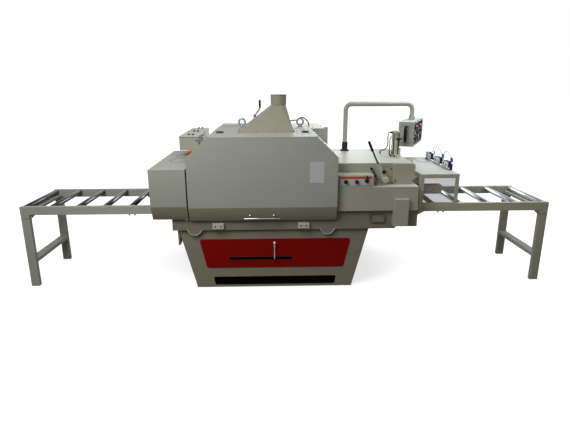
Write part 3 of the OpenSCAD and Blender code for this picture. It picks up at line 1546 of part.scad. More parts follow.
// Lifting eyes, console bolts, plate screws and rail bolts
module lifting_eye(x) {
    y = house_y1 - eye_in;
    rod_z(x, y, hood_top, hood_top + eye_collar_h, eye_collar_r);
    translate([x, y, hood_top + eye_collar_h + eye_r]) rotate([90, 0, 0])
        rotate_extrude() translate([eye_r, 0]) circle(eye_wire);
}
module screw_y(x, y, z, r) { rod_y(x, y - screw_h, y, z, r); }
module fasteners() color(black) {
    for (x = eye_x) lifting_eye(hood_x + x);
    for (k = console_bolt_shares, s = [-1, 1])
        translate([console_x + s * console_bolt_gap, console_y0 + k * console_l, console_top])
            cylinder(h = console_bolt_h, r = console_bolt_r, $fn = 6);
    plate_z = bed_top + plate_low;
    for (x = [in_x1 - bearing_plate_w + bearing_plate_r, in_x1 - bearing_plate_r / 2])
        screw_y(x, in_y0 - bearing_plate_t, plate_z + bearing_plate_r, screw_r);
    screw_y(in_x0 + check_plate_x + check_plate_w - 2 * screw_r, in_y0 - check_plate_t,
            plate_z + check_plate_h - 2 * screw_r, screw_r);
    for (x = latch_x, s = [-1, 1])
        screw_y(x + s * latch_w / 4, bed_y0 - latch_out, bed_z0 + latch_low + latch_h / 2, screw_r);
    for (x = [name_plate_x + 2 * screw_r, name_plate_x + name_plate_w - 2 * screw_r])
        screw_y(x, bed_y0 - name_plate_t, bed_z0 + name_plate_low + name_plate_h / 2, screw_r / 2);
    for (y = [table_y0, table_y1 - rail_w]) {
        for (x = [rail_bolt_left, rail_bolt_left + rail_bolt_gap])
            rod_z(left_x0 + x, y + rail_w / 2, table_top - rail_h - rail_bolt_l, table_top - rail_h,
                  rail_bolt_r);
        for (x = [rail_bolt_right, rail_bolt_right + rail_bolt_gap])
            rod_z(bed_right + x, y + rail_w / 2, table_top - rail_h - rail_bolt_l, table_top - rail_h,
                  rail_bolt_r);
    }
}

base_frame();
base_panel();
shift_lever();
bed();
cover_plates();
main_motor();
motor_pulley();
drive_belts();
feed_chain();
drive_sprockets();
idler_sprockets();
feed_gearmotor();
saw_arbor();
saw_blades();
arbor_bearings();
infeed_press_roller();
outfeed_press_roller();
kickback_fingers();
front_hood();
hood_handle();
rip_fence();
top_housing();
rear_enclosure();
dust_cone();
height_crank();
outfeed_cover();
console();
estop_button();
infeed_cover();
knob_left();
knob_right();
selector_lever();
infeed_housing();
feed_lever();
lock_lever();
pendant_base();
pendant_arm();
pendant_box();
pendant_estop();
pendant_start();
air_cylinder();
t_handle();
air_hose();
infeed_guard();
guard_window();
laser_rail();
laser_cable();
left_table();
right_table();
table_roller(left_roller_x(0));  // left_roller_1
table_roller(left_roller_x(1));  // left_roller_2
table_roller(left_roller_x(2));  // left_roller_3
table_roller(left_roller_x(3));  // left_roller_4
table_roller(left_roller_x(4));  // left_roller_5
table_roller(right_roller_x(0));  // right_roller_1
table_roller(right_roller_x(1));  // right_roller_2
table_roller(right_roller_x(2));  // right_roller_3
table_roller(right_roller_x(3));  // right_roller_4
table_roller(right_roller_x(4));  // right_roller_5
fasteners();
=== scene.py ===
from math import atan2, cos, pi, radians, sin, tan

import bpy
from mathutils import Matrix, Vector


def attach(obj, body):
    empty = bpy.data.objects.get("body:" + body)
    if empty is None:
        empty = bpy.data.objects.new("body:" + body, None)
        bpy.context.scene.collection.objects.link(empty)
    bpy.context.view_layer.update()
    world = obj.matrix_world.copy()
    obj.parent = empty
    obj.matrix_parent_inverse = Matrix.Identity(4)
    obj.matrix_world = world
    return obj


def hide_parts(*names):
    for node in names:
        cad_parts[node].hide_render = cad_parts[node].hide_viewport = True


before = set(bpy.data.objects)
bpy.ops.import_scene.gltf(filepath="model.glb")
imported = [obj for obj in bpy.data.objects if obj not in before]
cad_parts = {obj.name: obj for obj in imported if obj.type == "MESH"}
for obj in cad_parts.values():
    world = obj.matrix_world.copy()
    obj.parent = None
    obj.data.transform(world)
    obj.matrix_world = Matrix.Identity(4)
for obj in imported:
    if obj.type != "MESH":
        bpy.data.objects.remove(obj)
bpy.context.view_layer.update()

MM = 0.001
UP, DOWN, FRONT, BACK, RIGHT, LEFT = (0, 0, 1), (0, 0, -1), (0, -1, 0), (0, 1, 0), (1, 0, 0), (-1, 0, 0)
CORNERS = ((-1, -1), (1, -1), (1, 1), (-1, 1))

# Places that several pieces share, in millimetres
ARBOR_X, ARBOR_Z, MOTOR_Z = -100, 956, 370
FEED_Y = -326.5
LUG_X, LATCH_X, HINGE_X = (-741, 498), (-519, 274), (-502, 302)
HOUSE_TOP, INFEED_TOP, COVER_TOP = 1460, 1190, 1177
BED_FRONT, HOOD_FRONT = -820.5, -910
COLLAR, COLLAR_R = (53, -320), 75
CRANK_X, CRANK_Y, CRANK_ARM, CRANK_TOP = -190, -10, 54, 1594
STOP_X, STOP_Z = -853, 1216
MAST, BOX_X, ARM_Z = (782, 130), 1500, 1687
CYLINDER, TEE, OILER = (1225, -310), (1228, -416), (950, -770)
LEVER_X, LEVER_Y, LEVER_Z = 1030, -775, 1045
RAIL_Y, AXLE_Z = (-690, 37), 780
LEFT_ROLLERS = [-2347 + 248 * i for i in range(5)]
RIGHT_ROLLERS = [2610 - 270 * i for i in range(5)]


# Shaping

def enter():
    """Goes into edit mode."""
    bpy.ops.object.mode_set(mode="EDIT")


def enter_all():
    """Goes into edit mode with everything selected."""
    enter()
    bpy.ops.mesh.select_all(action="SELECT")


def leave():
    """Goes back to object mode."""
    bpy.ops.object.mode_set(mode="OBJECT")


def shown(name, data):
    """A new object in the scene."""
    made = bpy.data.objects.new(name, data)
    bpy.context.scene.collection.objects.link(made)
    return made


def deselect():
    """Leaves no piece selected."""
    if bpy.context.mode != "OBJECT":
        leave()
    bpy.ops.object.select_all(action="DESELECT")


def take(piece):
    """Makes one piece the only selected one."""
    deselect()
    piece.select_set(True)
    bpy.context.view_layer.objects.active = piece
    return piece


def settle(piece):
    """Puts a piece's place, turn and scale into its mesh."""
    take(piece)
    bpy.ops.object.transform_apply(location=True, rotation=True, scale=True)
    return piece


def block(low, high):
    """A block between two corners, in millimetres."""
    deselect()
    low, high = Vector(low) * MM, Vector(high) * MM
    bpy.ops.mesh.primitive_cube_add(size=1, location=(low + high) / 2, scale=high - low)
    return settle(bpy.context.object)


def turned(at, towards, steps, sides=32):
    """A turned piece: a disc drawn out from a point, one (distance, radius) step after another."""
    deselect()
    start, radius = steps[0]
    bpy.ops.mesh.primitive_circle_add(vertices=sides, radius=radius * MM, fill_type="NGON",
            location=(0, 0, start * MM))
    piece = settle(bpy.context.object)
    enter_all()
    for along, wide in steps[1:]:
        bpy.ops.mesh.extrude_region_move(TRANSFORM_OT_translate={"value": (0, 0, (along - start) * MM)})
        bpy.ops.transform.resize(value=(wide / radius, wide / radius, 1),
                center_override=(0, 0, along * MM))
        start, radius = along, wide
    bpy.ops.mesh.select_all(action="SELECT")
    bpy.ops.mesh.normals_make_consistent(inside=False)
    leave()
    piece.rotation_mode = "QUATERNION"
    piece.rotation_quaternion = Vector(towards).to_track_quat("Z", "Y")
    piece.location = Vector(at) * MM
    settle(piece)
    bpy.ops.object.shade_smooth_by_angle(angle=radians(35))
    return piece


def line(points, radius, closed=False):
    """A round bead, rod or cord along points in millimetres, as a curve."""
    shape = bpy.data.curves.new("line", "CURVE")
    shape.dimensions = "3D"
    run = shape.splines.new("POLY")
    run.points.add(len(points) - 1)
    for spot, p in zip(run.points, points):
        spot.co = (*(Vector(p) * MM), 1)
    run.use_cyclic_u = closed
    shape.bevel_depth = radius * MM
    shape.bevel_resolution = 4
    shape.use_fill_caps = not closed
    return shown("line", shape)


def rod(points, radius, closed=False):
    """The same as a mesh."""
    take(line(points, radius, closed))
    bpy.ops.object.convert(target="MESH")
    bpy.ops.object.shade_smooth_by_angle(angle=radians(50))
    return bpy.context.object


def flowing(points, parts=4):
    """A smooth run of points through a route."""
    ends = [points[0], *points, points[-1]]
    run = []
    for a, b, c, d in zip(ends, ends[1:], ends[2:], ends[3:]):
        a, b, c, d = (Vector(p) for p in (a, b, c, d))
        for i in range(parts):
            t = i / parts
            near = 2 * b + (c - a) * t + (2 * a - 5 * b + 4 * c - d) * t ** 2
            run.append(0.5 * (near + (3 * b - a - 3 * c + d) * t ** 3))
    return run + [Vector(points[-1])]


def cornered(points, radius, parts=8):
    """A run of points with its inner corners rounded."""
    run = [Vector(points[0])]
    for a, b, c in zip(points, points[1:], points[2:]):
        b = Vector(b)
        u, w = (Vector(a) - b).normalized(), (Vector(c) - b).normalized()
        half = u.angle(w) / 2
        reach, centre = radius / tan(half), b + (u + w).normalized() * radius / sin(half)
        s, e = b + u * reach - centre, b + w * reach - centre
        run += [centre + radius * s.slerp(e, i / parts).normalized() for i in range(parts + 1)]
    return run + [Vector(points[-1])]


def ring(centre, radius, across, up, parts=32):
    """Points of a circle spanned by two directions."""
    across, up = Vector(across), Vector(up)
    return [Vector(centre) + radius * (cos(a) * across + sin(a) * up)
            for a in (2 * pi * i / parts for i in range(parts))]


def soften(piece, width, rounds=2, angle=30, smooth=40):
    """Rounds the edges of a piece that are sharper than an angle."""
    take(piece)
    edge = piece.modifiers.new("soft_edge", "BEVEL")
    edge.width = width * MM
    edge.segments = rounds
    edge.limit_method = "ANGLE"
    edge.angle_limit = radians(angle)
    edge.use_clamp_overlap = False
    bpy.ops.object.modifier_apply(modifier=edge.name)
    bpy.ops.object.shade_smooth_by_angle(angle=radians(smooth))
    even = piece.modifiers.new("flat_faces", "WEIGHTED_NORMAL")
    even.keep_sharp = True
    bpy.ops.object.modifier_apply(modifier=even.name)
    return piece


def copied(node):
    """A copy of a CAD node with whole faces."""
    piece = take(shown(node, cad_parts[node].data.copy()))
    enter_all()
    bpy.ops.mesh.remove_doubles(threshold=0.01 * MM)
    bpy.ops.mesh.dissolve_limited(angle_limit=radians(0.5))
    leave()
    return piece


def eased(node, width):
    """A copy of a CAD node with its edges rounded."""
    return soften(copied(node), width)


def unpick(piece, kind):
    """Leaves nothing of a piece selected, ready to select faces or edges."""
    take(piece)
    enter()
    bpy.ops.mesh.select_mode(type=kind)
    bpy.ops.mesh.select_all(action="DESELECT")
    leave()


def pick(piece, test):
    """Goes into edit mode with the faces selected that lie and point as asked."""
    unpick(piece, "FACE")
    for face in piece.data.polygons:
        face.select = bool(test(face.center / MM, face.normal))
    enter()


def cut_plate(outline, y0, y1):
    """A plate cut to an outline of (x, z) points, between two depths."""
    shape = bpy.data.curves.new("plate", "CURVE")
    shape.dimensions = "2D"
    shape.fill_mode = "BOTH"
    shape.extrude = (y1 - y0) / 2 * MM
    run = shape.splines.new("POLY")
    run.points.add(len(outline) - 1)
    for spot, (x, z) in zip(run.points, outline):
        spot.co = (x * MM, z * MM, 0, 1)
    run.use_cyclic_u = True
    take(shown("plate", shape))
    bpy.ops.object.convert(target="MESH")
    piece = bpy.context.object
    piece.rotation_euler = (radians(90), 0, 0)
    piece.location = (0, (y0 + y1) / 2 * MM, 0)
    settle(piece)
    enter_all()
    bpy.ops.mesh.remove_doubles(threshold=0.01 * MM)
    bpy.ops.mesh.normals_make_consistent(inside=False)
    leave()
    return piece


def resized(piece, test, by, centre=(0, 0, 0)):
    """Scales the picked faces about a point in millimetres."""
    pick(piece, test)
    bpy.ops.transform.resize(value=by, center_override=Vector(centre) * MM)
    leave()
    return piece


def opened(piece, test):
    """Takes the picked faces away."""
    pick(piece, test)
    bpy.ops.mesh.delete(type="FACE")
    leave()
    return piece


def corner_rounded(node, past_x, past_z, radius):
    """A copy of a CAD node, with the edges past an x and a z rounded off."""
    piece = copied(node)
    unpick(piece, "EDGE")
    spots = [spot.co / MM for spot in piece.data.vertices]
    for side in piece.data.edges:
        side.select = all(spots[i].x > past_x and spots[i].z > past_z for i in side.vertices)
    enter()
    bpy.ops.mesh.bevel(offset=radius * MM, segments=8, affect="EDGES")
    leave()
    return piece


def slab(low, high, width, rounds=2):
    """A block with rounded edges."""
    return soften(block(low, high), width, rounds)


def joined(pieces):
    """Several pieces as one."""
    deselect()
    for piece in pieces:
        piece.select_set(True)
    bpy.context.view_layer.objects.active = pieces[0]
    if len(pieces) > 1:
        bpy.ops.object.join()
    return bpy.context.object


def moved(piece, turn):
    """Moves the mesh itself."""
    piece.data.transform(turn)
    return piece


def shift(by):
    """A move in millimetres, as a matrix."""
    return Matrix.Translation(Vector(by) * MM)


def spread(piece, turns):
    """The piece repeated by each of some moves, in millimetres or as matrices, as one piece."""
    made = []
    for turn in turns:
        if not isinstance(turn, Matrix):
            turn = shift(turn)
        made.append(moved(shown(piece.name, piece.data.copy()), turn))
    bpy.data.objects.remove(piece)
    return joined(made)


def about(centre, axis, degrees):
    """A turn about a line through a point in millimetres."""
    middle = shift(centre)
    return middle @ Matrix.Rotation(radians(degrees), 4, axis) @ middle.inverted()


# Finishes

# The slot of each finish
usual_slot = {}


def linear(code):
    """A hex colour as linear values."""
    parts = [int(code[i:i + 2], 16) / 255 for i in (1, 3, 5)]
    return [c / 12.92 if c <= 0.04045 else ((c + 0.055) / 1.055) ** 2.4 for c in parts] + [1]


def blank(owner):
    """An empty node tree for a material or a world."""
    owner.use_nodes = True
    owner.node_tree.nodes.clear()
    return owner.node_tree


def add(tree, kind, links=None, out=0, **settings):
    """Adds a shader node with its settings and its sockets' values or links. Gives one of its outputs."""
    made = tree.nodes.new("ShaderNode" + kind)
    for name, value in settings.items():
        setattr(made, name, value)
    for socket, value in (links or {}).items():
        if isinstance(value, bpy.types.NodeSocket):
            tree.links.new(value, made.inputs[socket])
        else:
            made.inputs[socket].default_value = value
    return made.outputs[out] if made.outputs else None


def mixed(tree, share, first, second):
    """Two colours mixed by a share of the second."""
    return add(tree, "Mix", {"Factor": share, 6: first, 7: second}, out=2, data_type="RGBA")


def ranged(tree, value, given, wanted):
    """A value carried over from one range to another."""
    return add(tree, "MapRange", {"Value": value, "From Min": given[0], "From Max": given[1],
            "To Min": wanted[0], "To Max": wanted[1]})


def finish(name, slot, colours, rough, patch, grain, depth, metallic=0.0, stretch=(1, 1, 1), worn=None,
           specular=0.5, spotted=0.0):
    """A surface whose colour drifts over patches, with a fine grain in gloss and height.
    patch, grain and depth are in millimetres; stretch draws the grain out along an axis."""
    made = bpy.data.materials.new(name)
    usual_slot[made.name] = slot
    tree = blank(made)
    place = add(tree, "TexCoord", out="Object")
    drift = add(tree, "TexNoise", {"Vector": place, "Scale": 1 / (patch * MM), "Detail": 4.0,
            "Roughness": 0.6})
    drawn = add(tree, "Mapping", {"Vector": place, "Scale": stretch})
    fine = add(tree, "TexNoise", {"Vector": drawn, "Scale": 1 / (grain * MM), "Detail": 3.0,
            "Roughness": 0.55})
    colour = mixed(tree, drift, linear(colours[0]), linear(colours[1]))
    if spotted:
        speck = ranged(tree, fine, (0.62, 0.72), (0, spotted))
        colour = mixed(tree, speck, colour, linear(colours[2]))
    if worn:
        rim = add(tree, "Bevel", {"Radius": 3 * MM}, samples=4)
        flat = add(tree, "NewGeometry", out="Normal")
        bent = add(tree, "VectorMath", {0: rim, 1: flat}, out="Value", operation="DOT_PRODUCT")
        edge = ranged(tree, bent, (0.97, 0.80), (0, 0.55))
        chips = add(tree, "Math", {0: edge, 1: drift}, operation="MULTIPLY")
        colour = mixed(tree, chips, colour, linear(worn))
    gloss = ranged(tree, fine, (0.3, 0.7), rough)
    bump = add(tree, "Bump", {"Strength": 0.6, "Distance": depth * MM, "Height": fine})
    shader = add(tree, "BsdfPrincipled", {"Base Color": colour, "Roughness": gloss, "Metallic": metallic,
            "Normal": bump, "Specular IOR Level": specular})
    add(tree, "OutputMaterial", {"Surface": shader})
    return made


def enamel(name, colours, rough, patch, worn=None, grain=7, depth=0.12, specular=0.3, slot="machine_paint"):
    """Stoved enamel, with orange peel and with edges rubbed lighter."""
    return finish(name, slot, colours, rough, patch, grain, depth, worn=worn, specular=specular)


# Stoved enamel on sheet steel: satin, an even olive grey with faint clouding, orange peel of about 2 mm
# drawn at 7 mm so that it shows, and edges rubbed a little lighter.
pebble = enamel("pebble_grey_enamel", ("#a4a69c", "#adafa5"), (0.40, 0.52), 420, "#c6c8be")
# The same enamel at the infeed end, a little yellower: painted warm light.
warm_lit_enamel = enamel("warm_lit_grey_enamel", ("#a4a494", "#adae9e"), (0.40, 0.52), 420, "#c6c6ba")
# The same enamel on the tables' tubes: plain, with nothing rubbed.
table_enamel = enamel("tube_grey_enamel", ("#a5a69c", "#abada3"), (0.42, 0.50), 600, depth=0.08)
# The cone's enamel, darker and a little yellower: painted shade.
cone_shade_enamel = enamel("shaded_cone_enamel", ("#93917f", "#9c9a88"), (0.46, 0.58), 260, "#c3c2b4",
        specular=0.25)
# The same enamel a shade lighter on small add-on parts; on the console's lid, the lug rims and the roof box
# the lighter tone is painted light.
pale_and_lit_enamel = enamel("pale_and_lit_grey_enamel", ("#bcbcb0", "#c4c4b9"), (0.38, 0.50), 200, "#d2d2c8", depth=0.10)
# The same enamel brushed over a sand casting: rougher skin, faint pits, and darker and browner as painted
# shade under the hood.
shaded_cast_enamel = enamel("shaded_enamel_on_casting", ("#7b7767", "#858172"), (0.45, 0.60), 300, "#b0afa3", grain=9,
        depth=0.5, specular=0.25)
# The same enamel a shade darker and warmer: painted shade on the base, on the hood's and outfeed cover's
# leaning lower strips and on the pressed ovals.
shaded_enamel = enamel("shaded_grey_enamel", ("#817d6e", "#8b8778"), (0.45, 0.58), 300, "#aaa799",
        specular=0.25)
# Deep red enamel, the panel's one strong colour, glossier than the rest.
red_enamel = enamel("deep_red_enamel", ("#7e0702", "#8a0b04"), (0.38, 0.48), 350, "#a83a30", depth=0.10,
        specular=0.1, slot="red_paint")
# Black powder coat on hinges, collar and brackets: a fine dry sparkle.
black_coat = finish("black_powder_coat", "black_steel", ("#161617", "#1d1d1e"), (0.45, 0.60), 60, 2.5,
        0.08, specular=0.25)
# Matt black: painted shade in the base's unlit toe recess and behind the lever's slot, and the dark seams
# round the legs' tops.
shade_and_seam_black = finish("black_for_shade_and_seams", "black_steel", ("#080808", "#0c0c0b"), (0.75, 0.9), 80, 5, 0.1,
        specular=0.08)
# Phenolic knobs and grips: near black, moulded, half gloss.
phenolic = finish("black_phenolic", "black_plastic", ("#0d0d0e", "#131314"), (0.30, 0.40), 25, 3, 0.03,
        specular=0.22)
# Rubber of hoses, belts and edge beads: matt and slightly grey.
rubber = finish("black_rubber", "black_rubber", ("#141415", "#1b1b1c"), (0.6, 0.75), 30, 2, 0.05,
        specular=0.15)
# Bright chrome plate on handle and lever rods: mirror with the faintest haze.
chrome = finish("bright_chrome", "chrome_plate", ("#b6b8bb", "#c2c4c6"), (0.08, 0.14), 60, 8, 0.01,
        metallic=1.0)
# Dark chrome of the feed lever's rod.
dark_chrome = finish("dark_chrome", "chrome_plate", ("#3c3e42", "#4a4c50"), (0.12, 0.2), 60, 8, 0.01,
        metallic=1.0)
# Table rollers: polished by the timber along each tube, the left ones black and oily, the right bright.
dark_roller = finish("oiled_black_tube", "chrome_plate", ("#0e0f12", "#17181b"), (0.10, 0.16), 120, 5,
        0.02, specular=0.8, stretch=(1, 0.06, 1))
bright_roller = finish("polished_steel_tube", "chrome_plate", ("#d9dde3", "#e6e9ed"), (0.07, 0.12), 120,
        5, 0.02, metallic=1.0, stretch=(1, 0.06, 1))
# Ground and machined steel of shafts and screws.
ground_steel = finish("ground_steel", "bare_steel", ("#8f9193", "#a3a5a6"), (0.30, 0.42), 70, 3, 0.02,
        metallic=1.0)
# Saw plate: ground steel, brighter, with a faint film of resin.
saw_plate = finish("saw_plate", "blade_steel", ("#b4b6b7", "#c6c8c9", "#8a7f68"), (0.22, 0.34), 60, 3,
        0.02, metallic=1.0, spotted=0.2)
# Iron chain pads, oiled and dusty.
chain_iron = finish("oiled_iron", "chain_iron", ("#47453f", "#57544b", "#8a7d62"), (0.45, 0.65), 45, 4,
        0.2, metallic=0.7, spotted=0.4)
# Machined bed ways, pulleys and bearing housings in grey iron.
grey_iron = finish("grey_iron", "casting", ("#73746f", "#83847e"), (0.42, 0.56), 60, 4, 0.15, metallic=0.8)
# Black-oxide screws; the same black is painted shade on the panel's slot walls.
oxide_and_slot_shade_black = finish("oxide_steel_and_slot_shade", "black_steel", ("#18191b", "#222326"), (0.35, 0.5), 20, 3, 0.02,
        metallic=0.5, specular=0.25)
# Moulded ABS and polycarbonate of the buttons.
red_plastic = finish("red_polycarbonate", "red_plastic", ("#a81710", "#b42016"), (0.25, 0.33), 30, 3, 0.02)
yellow_plastic = finish("yellow_abs", "black_plastic", ("#d8961c", "#e0a226"), (0.35, 0.45), 30, 3, 0.03)
green_plastic = finish("green_polycarbonate", "green_plastic", ("#175c2c", "#1f6a35"), (0.25, 0.33), 30,
        3, 0.02)
white_plastic = finish("white_abs", "black_plastic", ("#dcdcd6", "#e4e4de"), (0.35, 0.45), 30, 3, 0.03)
# Beige enamel of the air cylinder, a warmer and yellower grey.
beige_enamel = enamel("beige_enamel", ("#b9b59c", "#c3bfa8"), (0.35, 0.45), 80, "#d0ccb8", grain=5,
        depth=0.06, specular=0.5, slot="beige_metal")
# Tan enamel of the fence, made paler as painted light so that it reads lit through the pane under the
# guard's roof.
lit_tan_enamel = enamel("lit_tan_enamel", ("#e6d2a8", "#eedcb6"), (0.4, 0.5), 80, grain=6, depth=0.06,
        slot="bare_steel")
# Navy anodised aluminium of the laser brackets.
navy = finish("navy_anodised_aluminium", "navy_paint", ("#1b2352", "#232c62"), (0.35, 0.45), 40, 3, 0.02,
        metallic=0.5)
# Satin machined aluminium.
aluminium = finish("satin_aluminium", "bare_steel", ("#c4c7ca", "#d2d4d6"), (0.28, 0.4), 40, 3, 0.02,
        metallic=1.0, stretch=(0.15, 1, 1))
# Brass of the oil fitting and glands, dulled by oil.
brass = finish("tarnished_brass", "bare_steel", ("#8a7748", "#9a8756"), (0.25, 0.36), 20, 3, 0.02,
        metallic=1.0)
# Printed foil of the control panel: near black, smooth.
panel_foil = finish("dark_panel_foil", "black_plastic", ("#101115", "#17181c"), (0.4, 0.5), 60, 4, 0.01,
        specular=0.18)
# Plain vinyl plates.
white_vinyl = finish("white_vinyl", "machine_paint", ("#c2c0c0", "#cac8c8"), (0.4, 0.5), 60, 4, 0.01)
red_vinyl = finish("red_vinyl", "red_paint", ("#b5472f", "#c05238"), (0.4, 0.5), 60, 4, 0.01)
# Pale PVC sheath of the laser cable.
pale_pvc = finish("pale_pvc", "pale_cable", ("#7d92a8", "#8a9fb4"), (0.35, 0.45), 25, 2, 0.02)


def clear_acrylic():
    """Cast acrylic: see-through, with a cool smoky tint and a few smears."""
    made = bpy.data.materials.new("clear_acrylic")
    usual_slot[made.name] = "clear_pane"
    tree = blank(made)
    place = add(tree, "TexCoord", out="Object")
    smear = add(tree, "TexNoise", {"Vector": place, "Scale": 1 / (90 * MM), "Detail": 3.0})
    gloss = ranged(tree, smear, (0, 1), (0.02, 0.08))
    shader = add(tree, "BsdfPrincipled", {"Base Color": linear("#848b96"), "Roughness": gloss,
            "IOR": 1.49, "Alpha": 0.38})
    add(tree, "OutputMaterial", {"Surface": shader})
    return made


acrylic = clear_acrylic()


def dress(piece, name, coat, *nodes, body="machine", slot=None):
    """Names a piece, gives it its finish and hangs it on its body."""
    piece.name = piece.data.name = name
    piece.data.materials.clear()
    piece.data.materials.append(coat)
    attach(piece, body)
    slot or usual_slot[coat.name]
    if nodes:
        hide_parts(*nodes)
    return piece


def plain(node, width, name, coat, body="machine", slot=None):
    """Dresses a copy of a CAD node with its edges rounded."""
    return dress(eased(node, width), name, coat, node, body=body, slot=slot)


def repaint(piece, coat, test):
    """Gives the faces that lie in one place another finish."""
    piece.data.materials.append(coat)
    for face in piece.data.polygons:
        if test(face.center / MM, face.normal):
            face.material_index = len(piece.data.materials) - 1
    return piece


# Camera, cords, floor and light

eye = bpy.data.cameras.new("photo_camera")
eye.lens, eye.sensor_width = 29.74, 36
camera = shown("photo_camera", eye)
view = Matrix.Translation((-0.011, -5.022, 1.923))
for axis, degrees in (("Z", -1.52), ("X", 90 - 15.85), ("Z", -0.15)):
    view = view @ Matrix.Rotation(radians(degrees), 4, axis)
camera.matrix_world = view
bpy.context.scene.camera = camera

HOSE = [(1169, -310, 1430), (1161, -310, 1430), (1153, -310, 1426), (1148, -310, 1417), (1146, -310, 1402),
        (1146, -309, 1380), (1148, -307, 1356), (1150, -303, 1334), (1151, -296, 1313), (1150, -285, 1293),
        (1147, -268, 1275), (1142, -246, 1260), (1136, -222, 1248), (1130, -196, 1240), (1125, -172, 1235),
        (1122, -152, 1231), (1120, -136, 1227), (1120, -125, 1221), (1120, -118, 1213), (1120, -116, 1207),
        (1120, -116, 1202)]
CABLE = [(1483, -47, 1088), (1483, -47, 1096), (1488, -47, 1106), (1500, -48, 1112), (1516, -49, 1112),
         (1535, -50, 1106), (1555, -52, 1097), (1578, -55, 1091), (1602, -57, 1089), (1624, -56, 1089),
         (1646, -50, 1089), (1664, -38, 1090), (1678, -20, 1092), (1687, 2, 1096), (1691, 28, 1102),
         (1692, 56, 1109), (1691, 86, 1117), (1690, 114, 1125), (1691, 140, 1134), (1696, 162, 1143),
         (1705, 177, 1152), (1717, 183, 1160), (1727, 177, 1166), (1732, 162, 1168)]
# Along the rail it hangs in one plane, in two loops from clip to clip
CABLE += [(1733, y, z) for y, z in (
         (145, 1166), (128, 1164), (102, 1164), (84, 1167), (69, 1176), (55, 1190), (39, 1207), (20, 1223),
         (-3, 1236), (-29, 1245), (-57, 1250), (-86, 1251), (-115, 1248), (-143, 1241), (-168, 1231),
         (-190, 1220), (-209, 1210), (-226, 1203), (-241, 1200), (-251, 1200), (-263, 1200), (-278, 1203),
         (-292, 1212), (-307, 1224), (-325, 1236), (-347, 1245), (-371, 1249), (-396, 1248), (-419, 1241),
         (-439, 1230), (-456, 1218), (-470, 1207), (-481, 1201), (-488, 1200), (-496, 1200))]


def run_length(points):
    """The length along points in millimetres, in metres."""
    return sum((Vector(b) - Vector(a)).length for a, b in zip(points, points[1:])) * MM


def cord(name, route, radius, coat, node):
    """A cord along a route, on the machine's body."""
    run = flowing(route)
    piece = dress(line(run, radius), name, coat, node)
    Vector(route[0]) * MM
    round(run_length(run), 3)


cord("air_hose_line", HOSE, 5, rubber, "air_hose")
cord("laser_cable_line", CABLE, 3, pale_pvc, "laser_cable")


def rays(tree):
    """What tells straight sight, reflections and sight through the pane apart."""
    return [add(tree, "LightPath", out=f"Is {kind} Ray") for kind in ("Camera", "Glossy", "Transmission")]


def studio():
    """A white floor that keeps the shadow and throws little light back, a white surround for the eye,
    lit walls under a darker ceiling for reflections, and the lamps."""
    deselect()
    bpy.ops.mesh.primitive_plane_add(size=80, location=(0, 0, 0))
    floor = bpy.context.object
    floor.name = "studio_floor"
    paper = bpy.data.materials.new("white_paper_floor")
    tree = blank(paper)
    looked_at, glossy, through = rays(tree)
    seen = add(tree, "Math", {0: looked_at, 1: glossy}, operation="MAXIMUM")
    seen = add(tree, "Math", {0: seen, 1: through}, operation="MAXIMUM")
    shade = add(tree, "BsdfDiffuse", {"Color": mixed(tree, seen, linear("#5c553f"), linear("#c8c8c8"))})
    place = add(tree, "TexCoord", out="Object")
    away = add(tree, "VectorMath", {0: place}, out="Value", operation="LENGTH")
    fade = ranged(tree, away, (1, 4), (0.70, 1))
    lift = add(tree, "Math", {0: looked_at, 1: fade}, operation="MULTIPLY")
    glow = add(tree, "Emission", {"Color": linear("#ffffff"), "Strength": lift})
    add(tree, "OutputMaterial", {"Surface": add(tree, "AddShader", {0: shade, 1: glow})})
    floor.data.materials.append(paper)
    world = bpy.data.worlds.new("white_studio")
    bpy.context.scene.world = world
    tree = blank(world)
    looked_at, glossy, through = rays(tree)
    seen = add(tree, "Math", {0: looked_at, 1: through}, operation="MAXIMUM")
    height = add(tree, "SeparateXYZ", {0: add(tree, "TexCoord", out="Generated")}, out="Z")
    walls = ranged(tree, height, (0.3, 0.6), (0.75, 0.2))
    mirrored = add(tree, "Math", {0: glossy, 1: walls, 2: seen}, operation="MULTIPLY_ADD")
    level = ranged(tree, mirrored, (0, 1), (0.19, 1))
    sky = add(tree, "Background", {"Color": linear("#ffffff"), "Strength": level})
    add(tree, "OutputWorld", {"Surface": sky})
    for name, kind, power, wide, fan, colour, place, aim in (
            ("overhead", "SUN", 0.3, 0, 36, "#ffffff", (0, -0.8, 4), (0, 0, 0)),
            ("front_left", "AREA", 66, 2.0, 150, "#ffffff", (-1.7, -3.0, 3.5), (-0.4, -0.8, 0.8)),
            ("over_right", "AREA", 21, 1.6, 85, "#e6efff", (2.2, 0.0, 3.0), (1.6, 0.0, 1.0)),
            ("over_back", "AREA", 3, 1.2, 85, "#ffffff", (-0.3, 1.5, 3.5), (-0.3, 0.6, 1.4)),
            ("behind", "AREA", 34, 2.0, 150, "#ffffff", (0.9, 4.2, 1.5), (0.2, 0, 0.8)),
            ("low_right", "AREA", 0.55, 1.0, 50, "#ffeccc", (2.4, -2.7, 1.3), (1.9, -0.4, 0.75))):
        lamp = bpy.data.lights.new(name, kind)
        lamp.energy = power
        lamp.color = linear(colour)[:3]
        if kind == "SUN":
            lamp.angle = radians(fan)
        else:
            lamp.size = wide
            lamp.spread = radians(fan)
        held = shown(name, lamp)
        held.visible_camera = False
        held.location = place
        held.rotation_mode = "QUATERNION"
        held.rotation_quaternion = (Vector(aim) - Vector(place)).to_track_quat("-Z", "Y")


studio()
bpy.context.scene.view_settings.view_transform = "Standard"
